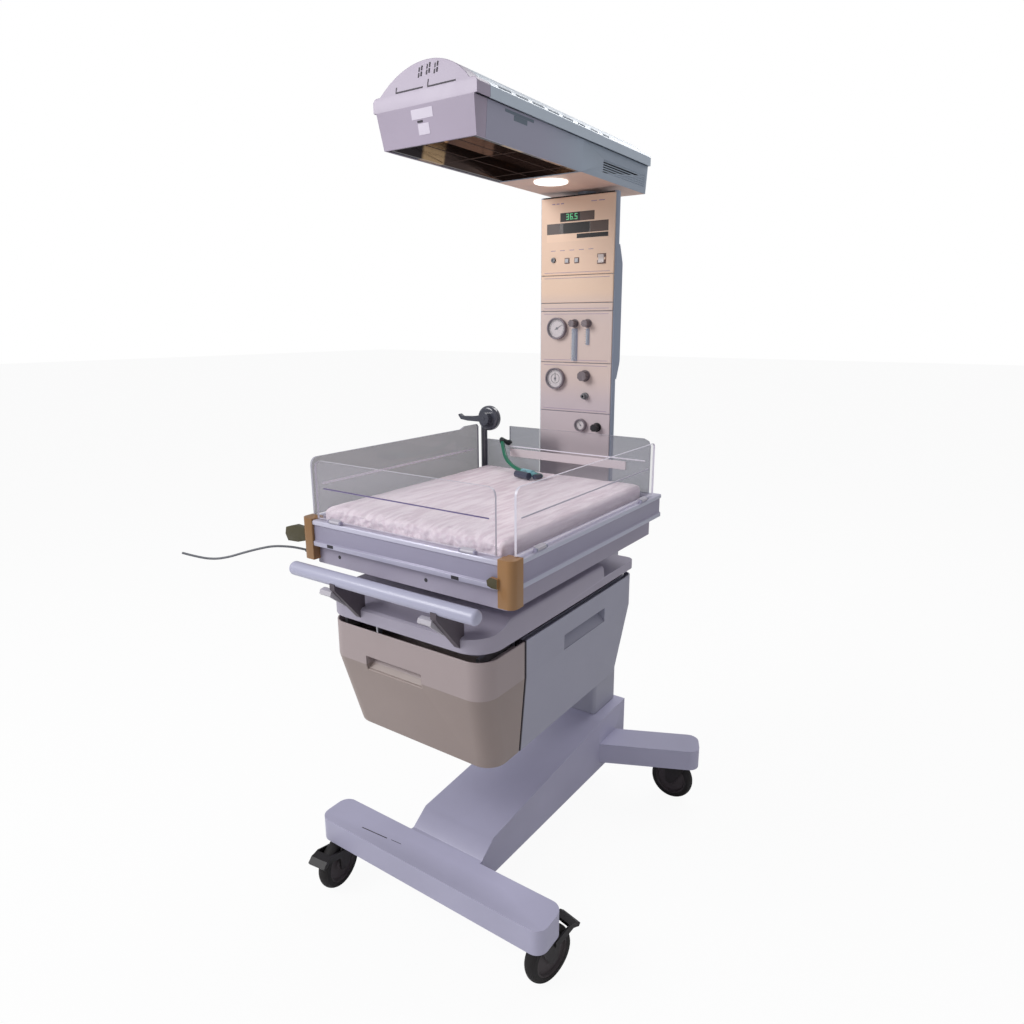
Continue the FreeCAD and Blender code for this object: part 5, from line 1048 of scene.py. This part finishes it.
for node, finish in (
        ("drawer_runners", "runner"), ("rear_hooks", "hook"), ("handle_bar", "bar"),
        ("tilt_yoke", "yoke"), ("clamp_body", "clamp"), ("hose_fittings", "fitting"),
        ("control_panel", "control"), ("module_panels", "module"), ("display_windows", "window"),
        ("panel_ports", "port"), ("gauge_cases", "gauge"), ("gauge_lenses", "lens"),
        ("flow_tubes", "tube"), ("button_left", "button"), ("button_right", "button"),
        ("power_switch", "rocker"), ("reflector", "reflector"), ("heater_element", "heater"),
        ("lamp_lens", "lamp")):
    plain(node, finishes[finish])
for side in ("front_right", "front_left", "rear_right", "rear_left"):
    softened("caster_fork_" + side, finishes["fork"], 0.001)
    wheel_faces(side)
for side in ("front_right", "front_left"):
    softened("brake_pedal_" + side, finishes["pedal"], 0.0015)
clear_panels()
mattress_cover()
hood_marks()
column_marks()
bed_marks()
base_marks()


def pale_floor():
    """A floor that shows nearly white to the camera and keeps the object's shadow."""
    half, drop = 30, -0.0005
    mesh = bpy.data.meshes.new("floor")
    mesh.from_pydata([(-half, -half, drop), (half, -half, drop), (half, half, drop),
                      (-half, half, drop)], [], [(0, 1, 2, 3)])
    floor = bpy.data.objects.new("floor", mesh)
    scene.collection.objects.link(floor)
    material = bpy.data.materials.new("pale_floor")
    material.use_nodes = True
    tree = material.node_tree
    tree.nodes.clear()
    matt = add(tree, "ShaderNodeBsdfDiffuse", {"Color": (0.8, 0.8, 0.8, 1)})
    glow = add(tree, "ShaderNodeEmission")
    seen = add(tree, "ShaderNodeLightPath")
    share = add(tree, "ShaderNodeMath", {0: seen.outputs["Is Camera Ray"], 1: 0.94},
                operation="MULTIPLY")
    mix = add(tree, "ShaderNodeMixShader", {"Fac": share.outputs[0], 1: matt.outputs[0],
                                            2: glow.outputs[0]})
    add(tree, "ShaderNodeOutputMaterial", {"Surface": mix.outputs[0]})
    mesh.materials.append(material)


def white_backdrop():
    """A soft even light that shows white behind the object and through its clear parts."""
    world = bpy.data.worlds.new("studio")
    scene.world = world
    world.use_nodes = True
    tree = world.node_tree
    soft = tree.nodes["Background"]
    fill(tree, soft, {"Color": (0.96, 0.96, 1.0, 1), "Strength": 0.42})
    white = add(tree, "ShaderNodeBackground", {"Color": (1, 1, 1, 1), "Strength": 1.0})
    seen = add(tree, "ShaderNodeLightPath").outputs
    either = add(tree, "ShaderNodeMath", {0: seen["Is Camera Ray"],
                                          1: seen["Is Transmission Ray"]}, operation="MAXIMUM")
    both = add(tree, "ShaderNodeMixShader", {"Fac": either.outputs[0], 1: soft.outputs[0],
                                             2: white.outputs[0]})
    fill(tree, tree.nodes["World Output"], {"Surface": both.outputs[0]})


def lamps():
    """A large lamp at the front left, a weak one at the right and one from behind."""
    # name, place, what it faces, size, power
    for name, place, aim, size, power in (
            ("key", (-1.9, -3.0, 3.1), (0, -0.1, 1.0), 2.0, 108.0),
            ("fill", (3.4, -1.2, 2.2), (0, 0.1, 0.9), 2.4, 3.0),
            ("back", (0.2, 2.4, 3.8), (0, 0, 1.2), 2.0, 48.0)):
        data = bpy.data.lights.new(name, "AREA")
        data.size = size
        data.energy = power
        lamp = bpy.data.objects.new(name, data)
        lamp.location = place
        lamp.rotation_euler = (Vector(aim) - Vector(place)).to_track_quat("-Z", "Y").to_euler()
        scene.collection.objects.link(lamp)


pale_floor()
white_backdrop()
lamps()
